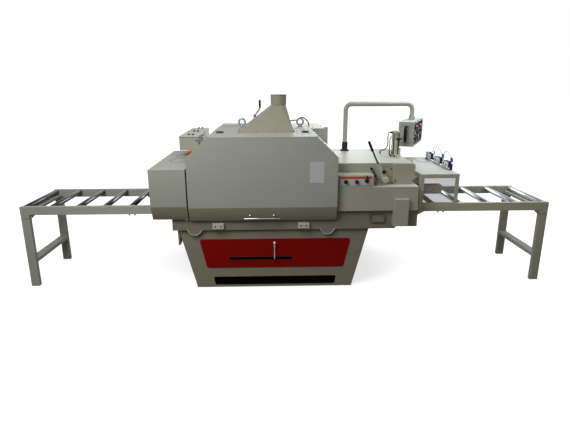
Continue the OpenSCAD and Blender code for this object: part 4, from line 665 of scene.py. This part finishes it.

# Base, panel and bed

# The base takes the darker enamel as painted shade.
base = plain("base_frame", 2, "base_shell", shaded_enamel)
# The base's toe recess takes the matt black as painted shade.
repaint(base, shade_and_seam_black, lambda c, n: -789.5 < c.y < -735 and 18 < c.z < 113 and abs(c.x - 4) < 610)
panel = plain("base_panel", 2.5, "front_panel", red_enamel)
# The panel's faces behind its front take the black oxide, and a matt black screen sits behind the slot:
# painted shade in the slot.
repaint(panel, oxide_and_slot_shade_black, lambda c, n: c.y > -789)
dress(slab((-480, -704, 190), (216, -701, 345), 1), "slot_shade_screen", shade_and_seam_black)
# The bed takes the darker casting enamel: painted shade under the hood.
bed = plain("bed", 3, "bed_casting", shaded_cast_enamel)
repaint(bed, grey_iron, lambda c, n: c.z > 770.5)
covers = plain("cover_plates", 2, "front_covers", warm_lit_enamel)
repaint(covers, pale_and_lit_enamel, lambda c, n: c.y < -821 and c.z < 661 and abs(c.x + 122) < 460)
# The oval-cornered plate takes the same darker casting enamel as painted shade.
repaint(covers, shaded_cast_enamel, lambda c, n: c.y > -830 and abs(c.x - 963) < 72 and c.z < 740)

# Rubber bead round the lever's slot, and the two pins that carry the panel
slot_edge = [(x + 12 * cos(a), -797, 297 + 12.5 * sin(a))
        for x, first in ((163 - 10, -90), (-426 + 10, 90))
        for a in (radians(first + 18 * i) for i in range(11))]
dress(rod(slot_edge, 3.6, closed=True), "slot_bead", rubber)
pin = turned((0, 0, 0), FRONT, ((0, 5), (9, 5), (11, 4), (12, 2)), 20)
dress(spread(pin, ((-412, -790, 197), (411, -790, 197))), "panel_pins", ground_steel)

# Each lug, where the casting carries the shipping bar, runs out in a fillet each side under a raised rim.
# The fillets take the darker casting enamel as painted shade, and the rims the paler enamel as a painted
# highlight.
fillet = [(75 + 14 * cos(a), 574 + 14 * sin(a)) for a in (radians(90 + 8.3 * i) for i in range(9))]
under = [(68 * cos(a), 607 + 68 * sin(a)) for a in (radians(206 + 6.4 * i) for i in range(21))]
edge = [(-px, pz) for px, pz in fillet] + under + fillet[::-1]
outline = [(-82, 591), *edge, (82, 591)]
webs = [cut_plate([(x + px, pz) for px, pz in outline], BED_FRONT, -760) for x in LUG_X]
dress(joined(webs), "lug_fillets", shaded_cast_enamel)
rims = [rod([(x + px * 0.97, BED_FRONT, pz + 2) for px, pz in edge], 3.5) for x in LUG_X]
dress(joined(rims), "lug_rims", pale_and_lit_enamel)

# A gasket shows as a dark line round the oval-cornered plate
gasket = slab((895, -821.5, 654), (1032, -819.8, 735), 18, 4)
dress(gasket, "plate_gasket", grey_iron, slot="black_rubber")
frame_line = rod([(963.5 + sx * 53, -826, 694.5 + sz * 26) for sx, sz in CORNERS], 1.0, closed=True)
dress(frame_line, "plate_border", grey_iron, slot="black_steel")

# Lever in the slot: carriage behind the panel, a slim stem, a collar and a small round knob
carriage = opened(eased("shift_lever", 1.5), lambda c, n: c.z > 310)
dress(carriage, "shift_carriage_block", oxide_and_slot_shade_black, "shift_lever", body="shift_carriage",
      slot="chrome_plate")
stem = turned((0, -832, 288), UP, ((0, 8), (3, 9), (16, 9), (20, 6), (136, 6), (138, 10), (147, 10),
        (149, 7), (157, 7)))
dress(stem, "shift_stem", chrome, body="shift_carriage")
stem_ball = turned((0, -832, 288), UP, ((156, 7.5), (159, 11), (166, 14), (174, 15), (182, 13), (188, 8),
        (190, 3)))
dress(stem_ball, "shift_ball", chrome, body="shift_carriage")

# Drive under the bed, feed and arbor

for node, name, body, coat, slot_name, width in (
        ("motor_pulley", "motor_sheave", "motor_rotor", ground_steel, "bare_steel", 1),
        ("drive_belts", "vee_belts", "machine", rubber, "black_rubber", 1),
        ("feed_chain", "chain_pads", "machine", chain_iron, "chain_iron", 1.5),
        ("drive_sprockets", "drive_wheels", "drive_shaft", ground_steel, "bare_steel", 1.5),
        ("idler_sprockets", "idler_wheels", "idler_shaft", ground_steel, "bare_steel", 1.5),
        ("feed_gearmotor", "gearmotor_body", "machine", shaded_cast_enamel, "casting", 5),
        ("saw_arbor", "arbor_shaft", "arbor", ground_steel, "bare_steel", 0.8),
        ("saw_blades", "blade_set", "arbor", saw_plate, "blade_steel", 0.4),
        ("arbor_bearings", "bearing_blocks", "machine", grey_iron, "casting", 4),
        ("kickback_fingers", "finger_row", "fingers", ground_steel, "bare_steel", 1.5),
        ("main_motor", "motor_body", "machine", grey_iron, "casting", 3)):
    piece = eased(node, width)
    if node in ("saw_arbor", "drive_sprockets", "idler_sprockets"):
        pick(piece, lambda c, n: True)
        bpy.ops.transform.shrink_fatten(value=-0.25 * MM)
        leave()
    dress(piece, name, coat, node, body=body, slot=slot_name)

# Cooling ribs of the motor
rib = resized(block((-2, -180, 164), (2, 80, 178)), lambda c, n: n.z > 0.9, (0.5, 0.96, 1), (0, -50, 0))
moved(rib, shift((ARBOR_X, 0, MOTOR_Z)))
turns = [about((ARBOR_X, 0, MOTOR_Z), "Y", a) for a in range(0, 360, 10) if a not in (170, 180, 190)]
dress(spread(rib, turns), "motor_ribs", grey_iron)

# Press rollers: grooved steel on plain shafts
for x, name in ((330, "infeed_press"), (-530, "outfeed_press")):
    steps = [(0, 15), (24, 15), (24.01, 48), (30, 55)]
    for i in range(13):
        steps += [(64 + 36 * i, 55), (66 + 36 * i, 52.5), (70 + 36 * i, 52.5), (72 + 36 * i, 55)]
    steps += [(558, 55), (563.9, 48), (564, 15), (588, 15)]
    roller = turned((x, FEED_Y - 294, 890), BACK, steps, 40)
    dress(roller, name, ground_steel, name + "_roller", body=name)

# Carbide tips on the blades
tip = slab((-4, -2.6, 143), (2, 2.6, 150.5), 0.4, 1)
moved(tip, about((0, 0, 0), "Y", 8))
moved(tip, shift((ARBOR_X, 0, ARBOR_Z)))
row = spread(tip, [about((ARBOR_X, 0, ARBOR_Z), "Y", 15 * i) for i in range(24)])
tips = spread(row, [(0, FEED_Y + 60 * i, 0) for i in range(-3, 4)])
dress(tips, "carbide_tips", grey_iron, body="arbor", slot="blade_steel")

# Hood, its bar and the housing behind it

hood = plain("front_hood", 1.8, "hood_sheet", pebble, body="hood")
repaint(hood, black_coat, lambda c, n: c.z > HOUSE_TOP + 0.2)
# The hood's leaning lower strip takes the darker enamel as painted shade.
repaint(hood, shaded_enamel, lambda c, n: n.y < -0.8 and n.z < -0.3 and c.z < 826)
house = plain("top_housing", 1.8, "house_sheet", pebble)
repaint(house, black_coat, lambda c, n: c.z > HOUSE_TOP + 0.2 and c.y < -480)
repaint(house, grey_iron, lambda c, n: c.z > HOUSE_TOP + 0.2 and c.y > -60)
plate = slab((320, HOOD_FRONT - 1.2, 1049), (448, HOOD_FRONT, 1239), 0.4, 1)
dress(plate, "hood_plate", white_vinyl, body="hood")
rivet = turned((0, 0, 0), FRONT, ((0, 3.2), (0.8, 3.0), (1.6, 2.0), (1.9, 0.6)), 16)
rivets = spread(rivet, [(x, HOOD_FRONT - 1.2, z) for x in (327, 441) for z in (1056, 1232)])
dress(rivets, "plate_rivets", aluminium, body="hood")
foot, out = Vector((0, -873.4, 742.7)), Vector((0, -0.914, -0.406))
post = turned(foot - out, out, ((0, 13), (4, 13), (8, 11), (12, 6.5), (45, 6.5), (46, 6)), 28)
posts = spread(post, ((-220, 0, 0), (-2, 0, 0)))
bar = turned((-276, -914.5, 724.4), RIGHT, ((0, 3), (1, 4.5), (3, 5.5), (327, 5.5), (329, 4.5), (330, 3)),
        28)
dress(joined([posts, bar]), "hood_bar", chrome, "hood_handle", body="hood")
leaf_screw = turned((0, 0, HOUSE_TOP + 5), UP, ((0, 4.2), (1.2, 4.0), (2.2, 2.4), (2.5, 0.8)), 16)
dress(spread(leaf_screw, [(x + dx, -562, 0) for x in HINGE_X for dx in (-22, 0, 22)]), "hinge_screws",
      ground_steel, body="hood")
# The seal between the hood's end and the outfeed cover
dress(slab((-798, -906.2, 830), (-776, -872, 1172), 2), "hood_seal", rubber)

# Dust cone with its collar bead and flange screws
deselect()
bpy.ops.mesh.primitive_plane_add(size=1, location=(-0.068, -0.32, 1.462))
mouth = bpy.context.object
mouth.scale = (0.524, 0.4, 1)
settle(mouth)
deselect()
bpy.ops.mesh.primitive_circle_add(vertices=8, radius=0.0745, fill_type="NGON",
        location=(0.053, -0.32, 1.706), rotation=(0, 0, radians(22.5)))
cone = joined([mouth, settle(bpy.context.object)])
enter_all()
bpy.ops.mesh.convex_hull(use_existing_faces=False)
bpy.ops.mesh.normals_make_consistent(inside=False)
opened(cone, lambda c, n: abs(n.z) > 0.99)
skin = cone.modifiers.new("sheet", "SOLIDIFY")
skin.thickness = 3 * MM
skin.offset = -1
bpy.ops.object.modifier_apply(modifier=skin.name)
rim = block((-343, -533, 1460), (207, -107, 1463))
pick(rim, lambda c, n: abs(n.z) > 0.9)
bpy.ops.mesh.inset(thickness=16 * MM, use_individual=True)
bpy.ops.mesh.bridge_edge_loops()
leave()
wall = ((0, COLLAR_R), (97, COLLAR_R), (97.01, COLLAR_R - 3), (1, COLLAR_R - 3))
spout = turned((*COLLAR, 1703), UP, wall, 48)
opened(spout, lambda c, n: abs(n.z) > 0.9 and c.z < 1710)
dress(joined([soften(cone, 1.6, 2, 12, 20), soften(rim, 0.8), spout]), "cone_sheet", cone_shade_enamel,
      "dust_cone")
bead = rod(ring((*COLLAR, 1796), COLLAR_R + 0.5, RIGHT, BACK, 48), 3, closed=True)
weld = rod(ring((*COLLAR, 1707), COLLAR_R - 0.5, RIGHT, BACK, 48), 2.2, closed=True)
dress(joined([bead, weld]), "collar_beads", cone_shade_enamel)
screw = turned((0, 0, HOUSE_TOP + 4), UP, ((0, 5), (2, 5), (3.4, 3.6), (3.8, 1)), 20)
around = [(x, y, 0) for x in (-331, -156, 20, 195) for y in (-526.5, -113.5)]
around += [(x, COLLAR[1], 0) for x in (-336.5, 200.5)]
dress(spread(screw, around), "cone_screws", oxide_and_slot_shade_black)

# Lifting eyes: a forged ring on a collar
eye_piece = joined([rod(ring((0, 70, 1510), 33, RIGHT, UP, 40), 9.5, closed=True),
        turned((0, 70, HOUSE_TOP), UP, ((0, 22), (4, 22), (6, 17), (13, 15), (20, 11), (24, 9)))])
dress(spread(eye_piece, ((-330, 0, 0), (287, 0, 0))), "lifting_eyes", ground_steel, slot="black_steel")

# Height crank with a turning grip
shaft = turned((CRANK_X, CRANK_Y, HOUSE_TOP + 2), UP, ((0, 13), (112, 13), (114, 15), (128, 15),
        (130, 12), (132, 7)))
grip_x = CRANK_X + CRANK_ARM
arm = rod(cornered([(CRANK_X, CRANK_Y, CRANK_TOP - 14), (grip_x, CRANK_Y, CRANK_TOP + 63),
        (grip_x, CRANK_Y, CRANK_TOP + 77)], 10), 9)
dress(joined([shaft, arm]), "crank_rod", ground_steel, "height_crank", body="crank", slot="chrome_plate")
grip = turned((grip_x, CRANK_Y, CRANK_TOP + 65), UP, ((0, 7), (1, 9), (6, 10.5), (30, 11.5), (60, 11.5),
        (74, 10.5), (80, 8), (81, 4)))
dress(grip, "crank_grip", phenolic, body="crank")

# Rear cabinet: two doors with louvres, locks and hinges, and a small junction box on its roof
plain("rear_enclosure", 1.8, "rear_cabinet", pebble)
doors, slats, locks, pins = [], [], [], []
for x0, x1, hinge_x, lock_x in ((-585, -32, -585, -70), (-18, 535, 535, 20)):
    doors.append(slab((x0, 789.5, 630), (x1, 794, 1405), 3))
    middle = (x0 + x1) / 2
    for z in range(700, 916, 24):
        slat = block((middle - 150, 793.5, z), (middle + 150, 799, z + 14))
        slats.append(resized(slat, lambda c, n: n.y > 0.9, (0.96, 1, 0.3), (middle, 0, z + 2)))
    locks.append(turned((lock_x, 793, 1020), BACK, ((0, 17), (4, 17), (6, 12), (14, 11), (15, 8))))
    locks.append(slab((lock_x - 6, 806, 985), (lock_x + 6, 816, 1055), 3))
    for z in (700, 1335):
        pins.append(turned((hinge_x, 796, z - 30), UP, ((0, 5), (1, 6), (59, 6), (60, 5))))
dress(joined(doors), "cabinet_doors", pebble)
dress(joined(slats), "cabinet_louvres", pebble)
dress(joined(locks), "door_locks", phenolic)
dress(joined(pins), "door_hinges", black_coat)
# The roof box takes the paler enamel: painted light on its top.
dress(slab((-546, 114, 1433), (-379, 270, 1479), 3), "roof_box", pale_and_lit_enamel)
route = ((150, 1458), (158, 1490), (185, 1516), (225, 1521), (262, 1528), (298, 1552), (330, 1543),
        (362, 1520), (380, 1490), (385, 1458))
dress(rod(flowing([(x, 100, z) for x, z in route]), 6), "oil_pipe", black_coat)
nut = turned((0, 100, HOUSE_TOP), UP, ((0, 9), (9, 9), (11, 7)), 6)
dress(spread(nut, ((151, 0, 0), (385, 0, 0))), "pipe_nuts", brass)

# Outfeed cover with its two pressed ovals and the stop button's yellow box
cover = resized(eased("outfeed_cover", 1.8), lambda c, n: c.z > COVER_TOP + 0.2, (0.8, 1, 0.84),
        (STOP_X, 0, COVER_TOP))
dress(cover, "outfeed_sheet", pebble, "outfeed_cover")
repaint(cover, yellow_plastic, lambda c, n: c.z > COVER_TOP + 0.2)
# The cover's leaning lower strip takes the darker enamel as painted shade.
repaint(cover, shaded_enamel, lambda c, n: n.y < -0.8 and n.z < -0.3 and c.z < 826)
ovals = []
for y, wide, deep in ((-390, 72, 110), (-125, 56, 90)):
    ovals.append(rod(ring((-945, y, COVER_TOP), 1, (wide, 0, 0), (0, deep, 0), 48), 2.6, closed=True))
# The ovals' rims take the darker enamel: painted shade in the pressed creases.
dress(joined(ovals), "pressed_ovals", shaded_enamel)
head = turned((STOP_X, -146, STOP_Z), FRONT, ((0, 8), (38.2, 8), (46, 8), (46.1, 22), (48, 24), (54, 24),
        (59, 21), (62, 14), (62.5, 5)))
dress(head, "stop_head", red_plastic, "estop_button", body="estop")
collar = turned((STOP_X, -184, STOP_Z), FRONT, ((0, 22), (2, 22), (3, 20), (3.1, 11), (3.2, 9.5)))
dress(collar, "stop_collar", phenolic)

# Console: box, lid, hex bolts and a small dot of a grommet
long_box = plain("console", 1.5, "console_box", pebble)
# The lid's top faces take the paler enamel: painted light.
repaint(long_box, pale_and_lit_enamel, lambda c, n: c.z > 1372)
lid = ((-969.6, -116.6), (-776.4, -116.6), (-776.4, 790.6), (-969.6, 790.6))
lid_line = rod([(x, y, 1371.5) for x, y in lid], 1.2, closed=True)
dot = turned((-792, -116, 1336), FRONT, ((0, 7), (3, 7), (5, 5), (5.5, 2)), 20)
dress(joined([lid_line, dot]), "console_trim", rubber)
hexes = joined([turned((0, 0, 1380), UP, ((0, 15), (2, 15), (2.5, 14)), 24),
        turned((0, 0, 1382), UP, ((0, 12.5), (8, 12.5), (10, 10.5)), 6)])
hexes = spread(hexes, [(-873 + s * 21, -116 + k * 906, 0) for k in (0.17, 0.57, 0.97) for s in (-1, 1)])

# Screws and bolts
button = turned((0, 0, 0), FRONT, ((0, 7), (2.5, 7), (4.2, 5.6), (5, 3.4), (5.01, 2.6), (2.6, 2.4)), 24)
spots = [(1137, -724, 1026), (1305, -724, 1026), (1092, -715, 1137)]
spots += [(x + dx, -850, 632.5) for x in LATCH_X for dx in (-26, 26)]
buttons = spread(button, spots)
small = turned((0, -826, 694.5), FRONT, ((0, 4), (1.5, 3.8), (2.6, 2.4), (2.8, 1)), 16)
smalls = spread(small, ((908, 0, 0), (1019, 0, 0)))
rail_bolt = joined([turned((0, 0, 720), DOWN, ((0, 11), (2, 11), (2.5, 10)), 20),
        turned((0, 0, 718), DOWN, ((0, 9), (6, 9), (7, 8)), 6),
        turned((0, 0, 712), DOWN, ((0, 5), (8, 5), (9, 4)), 16)])
rail_bolts = spread(rail_bolt, [(x, y, 0) for x in (-1368, -1318, 1578, 1628) for y in RAIL_Y])
dress(joined([hexes, buttons, smalls, rail_bolts]), "fastener_set", oxide_and_slot_shade_black, "fasteners")

# Infeed cover: blank plate with a plain red strip, two fluted knobs and a selector

plain("infeed_cover", 2.5, "infeed_front", warm_lit_enamel)
dress(slab((605, -855.9, 1016), (893, -855, 1099), 0.3, 1), "legend_plate", white_vinyl)
dress(slab((609, -856.4, 1072), (889, -855.8, 1094), 0.2, 1), "legend_strip", red_vinyl)
for x, z, name, node, body in ((652, 1046, "dial_left", "knob_left", "left_knob"),
                               (751, 1046, "dial_right", "knob_right", "right_knob"),
                               (841, 1054, "selector_dial", "selector_lever", "selector")):
    parts = [turned((x, -835, z), FRONT, ((0, 5), (20.4, 5), (20.5, 18), (23, 19), (26, 18), (28, 15),
            (41, 13.5), (43, 11), (43.2, 4)))]
    flute = turned((x, -862, z + 13.6), FRONT, ((0, 2.6), (14, 2.3), (15.5, 1)), 12)
    parts.append(spread(flute, [about((x, 0, z), "Y", 30 * i) for i in range(12)]))
    if node == "selector_lever":
        wing = slab((x - 6, -883, z - 14), (x + 6, -866, z + 50), 3)
        parts.append(resized(wing, lambda c, n: n.z > 0.9, (0.6, 0.7, 1), (x, -872, z + 50)))
    dress(joined(parts), name, phenolic, node, body=body)
    mark = block((x - 1, -878.6, z + 3), (x + 1, -877.8, z + 11))
    dress(soften(mark, 0.2, 1), name + "_mark", white_plastic, body=body)

# Infeed housing and what stands on its front
box = corner_rounded("infeed_housing", 1319.5, INFEED_TOP - 0.5, 32)
dress(soften(box, 3), "infeed_box", warm_lit_enamel, "infeed_housing")
joint = rod([(x, -711, z) for x, z in ((1017, 997), (1107, 997), (1107, 1152), (1017, 1152))], 2.4,
        closed=True)
dress(joint, "check_gasket", rubber)
hub = ((0, 29), (42, 29), (46, 27), (48, 22), (48.1, 12), (46, 11))
casting = [turned((LEVER_X, -752, LEVER_Z), FRONT, hub, 40),
        turned((LEVER_X, -703, LEVER_Z), FRONT, ((0, 12), (52, 12)))]
flat = resized(block((-26, -11, -6), (26, 11, 165)), lambda c, n: n.z > 0.9, (0.62, 0.8, 1))
soften(flat, 5, 3)
lean = Matrix.Rotation(atan2(-74, 147), 4, "Y")
moved(flat, shift((LEVER_X, LEVER_Y, LEVER_Z)) @ lean)
boss = turned((956, -762, 1192), FRONT, ((0, 15), (22, 15), (25, 12), (25.1, 6), (24, 5.5)))
dress(joined(casting + [flat, boss]), "feed_casting", pale_and_lit_enamel, "feed_lever", body="feed_arm",
      slot="casting")
along = Vector((-40, 0, 90)).normalized()
lever_rod = turned((956, LEVER_Y, 1192), (-56, 0, 118), ((0, 13), (14, 13), (16, 8), (131, 7.5)))
dress(lever_rod, "feed_rod", dark_chrome, body="feed_arm")
steps = [(0, 8), (2, 11)]
for i in range(7):
    steps += [(6 + 11 * i, 12.5), (13 + 11 * i, 12.5), (14 + 11 * i, 11.2), (16 + 11 * i, 11.2)]
steps += [(88, 13), (94, 12), (97.5, 8), (98.4, 3)]
dress(turned((900, LEVER_Y, 1310), along, steps), "feed_grip", rubber, body="feed_arm")
knob = turned((1008, -785, 1124), FRONT, ((0, 7), (8, 7), (8.1, 11), (13, 17), (20, 19.5), (27, 18),
        (32, 13), (34.5, 5)))
dress(knob, "feed_ball", phenolic, body="feed_arm")
root, end = Vector((943, -736, 1076)), Vector((905, -736, 1143))
ball = ((0, 6), (3, 9), (8, 12.5), (13, 13.5), (19, 12), (24, 7), (25.5, 2))
lock = [turned((943, -703, 1076), FRONT, ((0, 8), (25, 8), (25.1, 13), (40, 13), (42, 10), (42.5, 4))),
        rod([root, end], 5),
        turned(end - 13 * (end - root).normalized(), end - root, ball)]
dress(joined(lock), "lock_rod", phenolic, "lock_lever", body="lock_arm")
oiler = joined([turned((*OILER, 996), UP, ((0, 13), (9, 13), (11, 11)), 6),
        turned((*OILER, 1006), UP, ((0, 8), (10, 8), (12, 11), (30, 11), (34, 8), (40, 7.5))),
        turned((936, -770, 1022), RIGHT, ((-6, 5), (0, 5), (2, 7), (10, 7)))])
dress(oiler, "oil_fitting", brass)
dress(turned((*OILER, 1044), UP, ((0, 9), (8, 9), (11, 7), (12, 3))), "oil_cap", phenolic)

# Pendant: flanged collar, bent tube, control box

neck = ((0, 46), (1, 47), (8, 47), (10, 45), (10.1, 33), (14, 30.5), (90, 30.5), (93, 30), (95, 28),
        (95.1, 24.5))
flange = joined([turned((*MAST, INFEED_TOP), UP, neck),
        turned((MAST[0], MAST[1] - 30, 1268), FRONT, ((0, 6), (6, 6), (8, 4)), 6)])
bolts = turned((MAST[0] + 38.5, MAST[1], INFEED_TOP + 10), UP, ((0, 6.5), (5, 6.5), (6, 5.5)), 6)
flange = joined([flange, spread(bolts, [about((*MAST, 0), "Z", 45 + 90 * i) for i in range(4)])])
dress(flange, "pendant_collar", black_coat, "pendant_base")
tube = rod(cornered([(*MAST, INFEED_TOP + 4), (*MAST, ARM_Z), (BOX_X, MAST[1], ARM_Z),
        (BOX_X, MAST[1], 1523)], 60, 14), 24)
dress(tube, "pendant_tube", pebble, "pendant_arm", body="swing_arm")

PENDANT = Matrix.Translation((1.5, 0.13, 1.51875)) @ Matrix.Rotation(radians(-24.9), 4, "Z")
inside = PENDANT.inverted()
PANEL_X, SEAT_X, BOX_STOP = 81.4, 59, (-176, -62)


def in_box(c):
    """A place as seen from the top of the turned box, in millimetres."""
    return inside @ (c * MM) / MM


def boxed(piece, name, coat, *nodes, body="control_box", slot=None):
    """Moves a piece modelled about the box's own top onto the turned box."""
    return dress(moved(piece, PENDANT), name, coat, *nodes, body=body, slot=slot)


case = plain("pendant_box", 2.5, "pendant_case", pebble, body="control_box")
repaint(case, phenolic, lambda c, n: in_box(c).y < -315.6 or 0.2 < in_box(c).z < 8)
boxed(slab((80.2, -297, -228), (81.6, 297, -18), 0.5, 1), "control_foil", panel_foil)
sleeve = turned((0, -355, -60), DOWN, ((0, 9), (1, 13), (4, 15), (122, 15), (125, 13), (126, 9)), 28)
boxed(sleeve, "grip_sleeve", rubber)
boxed(slab((-77, -315, -252), (84, 315, -246), 1.5), "case_lip", pale_and_lit_enamel)
lens_steps = ((0, 11), (3, 11), (4, 9.5), (4.1, 8), (10, 7.5), (12, 5), (12.5, 2))
lamp = turned((PANEL_X, 0, 0), RIGHT, lens_steps, 20)
for name, coat, spots in (
        ("white_lamps", white_plastic,
         [(-250, -120), (-120, -62), (120, -62), (250, -120), (0, -175), (250, -62)]),
        ("red_lamps", red_plastic, [(190, -175)]),
        ("green_lamps", green_plastic, [(-120, -175)]),
        ("black_switches", phenolic,
         [(-176, -120), (-120, -120), (0, -62), (0, -120), (60, -62), (60, -175), (120, -120), (190, -62),
          (190, -120), (-250, -62), (-60, -175), (-250, -175), (60, -120), (120, -175)])):
    boxed(spread(shown("lamp", lamp.data.copy()), [(0, y, z) for y, z in spots]), name, coat,
          slot="black_plastic")
bpy.data.objects.remove(lamp)
tag = slab((PANEL_X, -18, -4), (PANEL_X + 0.8, 18, 4), 0.2, 1)
boxed(spread(tag, [(0, y, z) for y in (-250, -120, 0, 60, 120, 190, 250) for z in (-92, -150, -205)]),
        "switch_tags", white_plastic)
stop = turned((SEAT_X, *BOX_STOP), RIGHT, ((0, 6), (28.9, 6), (29, 18), (30.5, 20), (36.5, 20),
        (40.5, 17.5), (43, 11), (43.5, 4)))
boxed(stop, "box_stop_head", red_plastic, "pendant_estop", body="box_estop")
start = turned((SEAT_X, -60, -120), RIGHT, ((0, 6), (27.4, 6), (27.5, 11), (28.5, 12), (38, 12),
        (40.5, 10), (41.5, 5)))
boxed(start, "box_start_head", green_plastic, "pendant_start", body="box_start")
ringed = turned((PANEL_X, *BOX_STOP), RIGHT, ((0, 26), (0.5, 26), (0.8, 24.5), (0.85, 10), (0.9, 8)))
boxed(ringed, "box_stop_ring", yellow_plastic)

# Air cylinder: square ends, a round barrel, tie rods, fittings; T-handle; a small post

ends = [slab((1190, -345, 1190), (1260, -275, 1215), 3),
        slab((1191, -344, 1418), (1259, -276, 1449), 8, 4)]
barrel = turned((*CYLINDER, 1213), UP, ((0, 29), (4, 29), (4.1, 27.5), (201, 27.5), (201.1, 29),
        (207, 29)), 40)
dress(joined(ends + [barrel]), "cylinder_body", beige_enamel, "air_cylinder")
tie = turned((0, 0, 1214), UP, ((0, 8), (6, 8), (6.1, 4), (202, 4), (202.1, 8), (206, 8)), 16)
dress(spread(tie, [(CYLINDER[0] + sx * 27, CYLINDER[1] + sy * 27, 0) for sx, sy in CORNERS]), "tie_rods",
      oxide_and_slot_shade_black)
bypass = ((1176, 1203), (1168, 1203), (1168, 1360), (1180, 1392))
elbow = [turned((1195, CYLINDER[1], 1430), LEFT, ((0, 8), (10, 8), (11, 10), (24, 10), (26, 8))),
        turned((1195, CYLINDER[1], 1203), LEFT, ((0, 7), (8, 7), (9, 9), (20, 9), (22, 7))),
        rod(cornered([(x, CYLINDER[1], z) for x, z in bypass], 8), 4.5)]
dress(joined(elbow), "cylinder_fittings", phenolic)
glands = [turned((1120, -116, INFEED_TOP), UP, ((0, 12), (6, 12), (8, 10)), 6),
          turned((1120, -116, 1197), UP, ((0, 9), (4, 9), (5, 7))),
          turned((1208, -345, 1203), FRONT, ((0, 10), (9, 10), (11, 8)), 6)]
dress(joined(glands), "brass_glands", brass)
tee_boss = turned((*TEE, INFEED_TOP), UP, ((0, 20), (6, 20), (8, 17), (33, 16), (35, 14), (35.1, 7.2)))
dress(tee_boss, "tee_boss", beige_enamel)
tee = [turned((*TEE, INFEED_TOP + 4), UP, ((0, 7), (120, 7), (160, 8), (178, 13), (184, 11))),
        turned((TEE[0] - 28, TEE[1], 1379), RIGHT, ((0, 4), (2, 7), (8, 9), (28, 10), (48, 9), (54, 7),
        (56, 4)))]
dress(joined(tee), "tee_bar", phenolic, "t_handle", body="tee")
small_post = turned((1290, -250, INFEED_TOP), UP, ((0, 11), (10, 11), (12, 6), (64, 6), (66, 8), (76, 8),
        (78, 5)))
dress(small_post, "locating_post", ground_steel)

# Infeed guard, pane, fence and lasers

plain("infeed_guard", 1.8, "guard_sheet", warm_lit_enamel)
plain("guard_window", 0.6, "guard_pane", acrylic)
board = corner_rounded("rip_fence", 1734.5, 900, 36)
dress(soften(board, 1.5), "fence_plate", lit_tan_enamel, "rip_fence", body="fence")
dress(slab((1378, -317.2, 894), (1698, -302.8, 906.5), 1.2), "fence_strip", red_vinyl, body="fence")
pane_screw = turned((0, -715, 0), FRONT, ((0, 4.5), (1.4, 4.3), (2.6, 2.6), (2.9, 1)), 16)
around = [(x, 0, z) for x in (1396, 1562, 1728) for z in (1063, 780)]
around += [(x, 0, 924) for x in (1396, 1728)]
dress(spread(pane_screw, around), "pane_screws", ground_steel)
plain("laser_rail", 2, "laser_bar", navy)
LASER_Y = (115, -165, -410)
back = slab((1711, -92, 1099), (1714.9, 92, 1162), 1)
faces = slab((1709.2, -78, 1107), (1711.2, 78, 1154), 0.6, 1)
lens = turned((1709.4, 40, 1130), LEFT, ((0, 9), (5, 9), (6, 7), (6.1, 5), (3, 4.6)), 20)
strap = slab((1708.6, -60, 1118), (1709.6, 5, 1126), 0.3, 1)
mast = slab((1744, -94, 1156), (1751, -78, 1196), 1.5)
for one, name, coat, slot_name in ((back, "laser_cases", navy, None), (mast, "laser_masts", navy, None),
                                   (faces, "laser_plates", white_plastic, "bare_steel"),
                                   (lens, "laser_lenses", black_coat, "black_plastic"),
                                   (strap, "laser_straps", navy, None)):
    dress(spread(one, [(0, y, 0) for y in LASER_Y]), name, coat, slot=slot_name)

# Roller tables

plain("left_table", 2.2, "outfeed_table", table_enamel)
plain("right_table", 2.2, "infeed_table", warm_lit_enamel)
dome = ((0, 10.5), (1.2, 10.5), (1.8, 9.5), (1.9, 4))
disc = turned((0, -709.5, AXLE_Z), FRONT, dome, 24)
ends = [(x, 0, 0) for x in LEFT_ROLLERS + RIGHT_ROLLERS]
behind = turned((0, 56.5, AXLE_Z), BACK, dome, 24)
dress(joined([spread(disc, ends), spread(behind, ends)]), "axle_caps", table_enamel)
weld = [rod([(x + sx * 40.4, y + sy * 20.4, 684.9) for sx, sy in CORNERS], 1.5, closed=True)
        for x in (-2338, 2601) for y in RAIL_Y]
dress(joined(weld), "leg_seams", shade_and_seam_black, slot="machine_paint")
plug = slab((-2, -17, -37), (3, 17, 37), 2)
dress(spread(plug, [(x, y, 760) for x in (-2379, 2641) for y in RAIL_Y]), "rail_caps", phenolic)
profile = ((0, 7.5), (42, 7.5), (42.1, 17), (42.2, 21), (44, 24.2), (46, 25), (719, 25), (721, 24.2),
        (722.8, 21), (722.9, 17), (723, 7.5), (763, 7.5))
for side, places, coat in (("left", LEFT_ROLLERS, dark_roller), ("right", RIGHT_ROLLERS, bright_roller)):
    for i, x in enumerate(places, 1):
        roller = turned((x, -708, AXLE_Z), BACK, profile, 40)
        dress(roller, f"{side}_tube_{i}", coat, f"{side}_roller_{i}", body=f"{side}_roll_{i}",
              slot="chrome_plate")
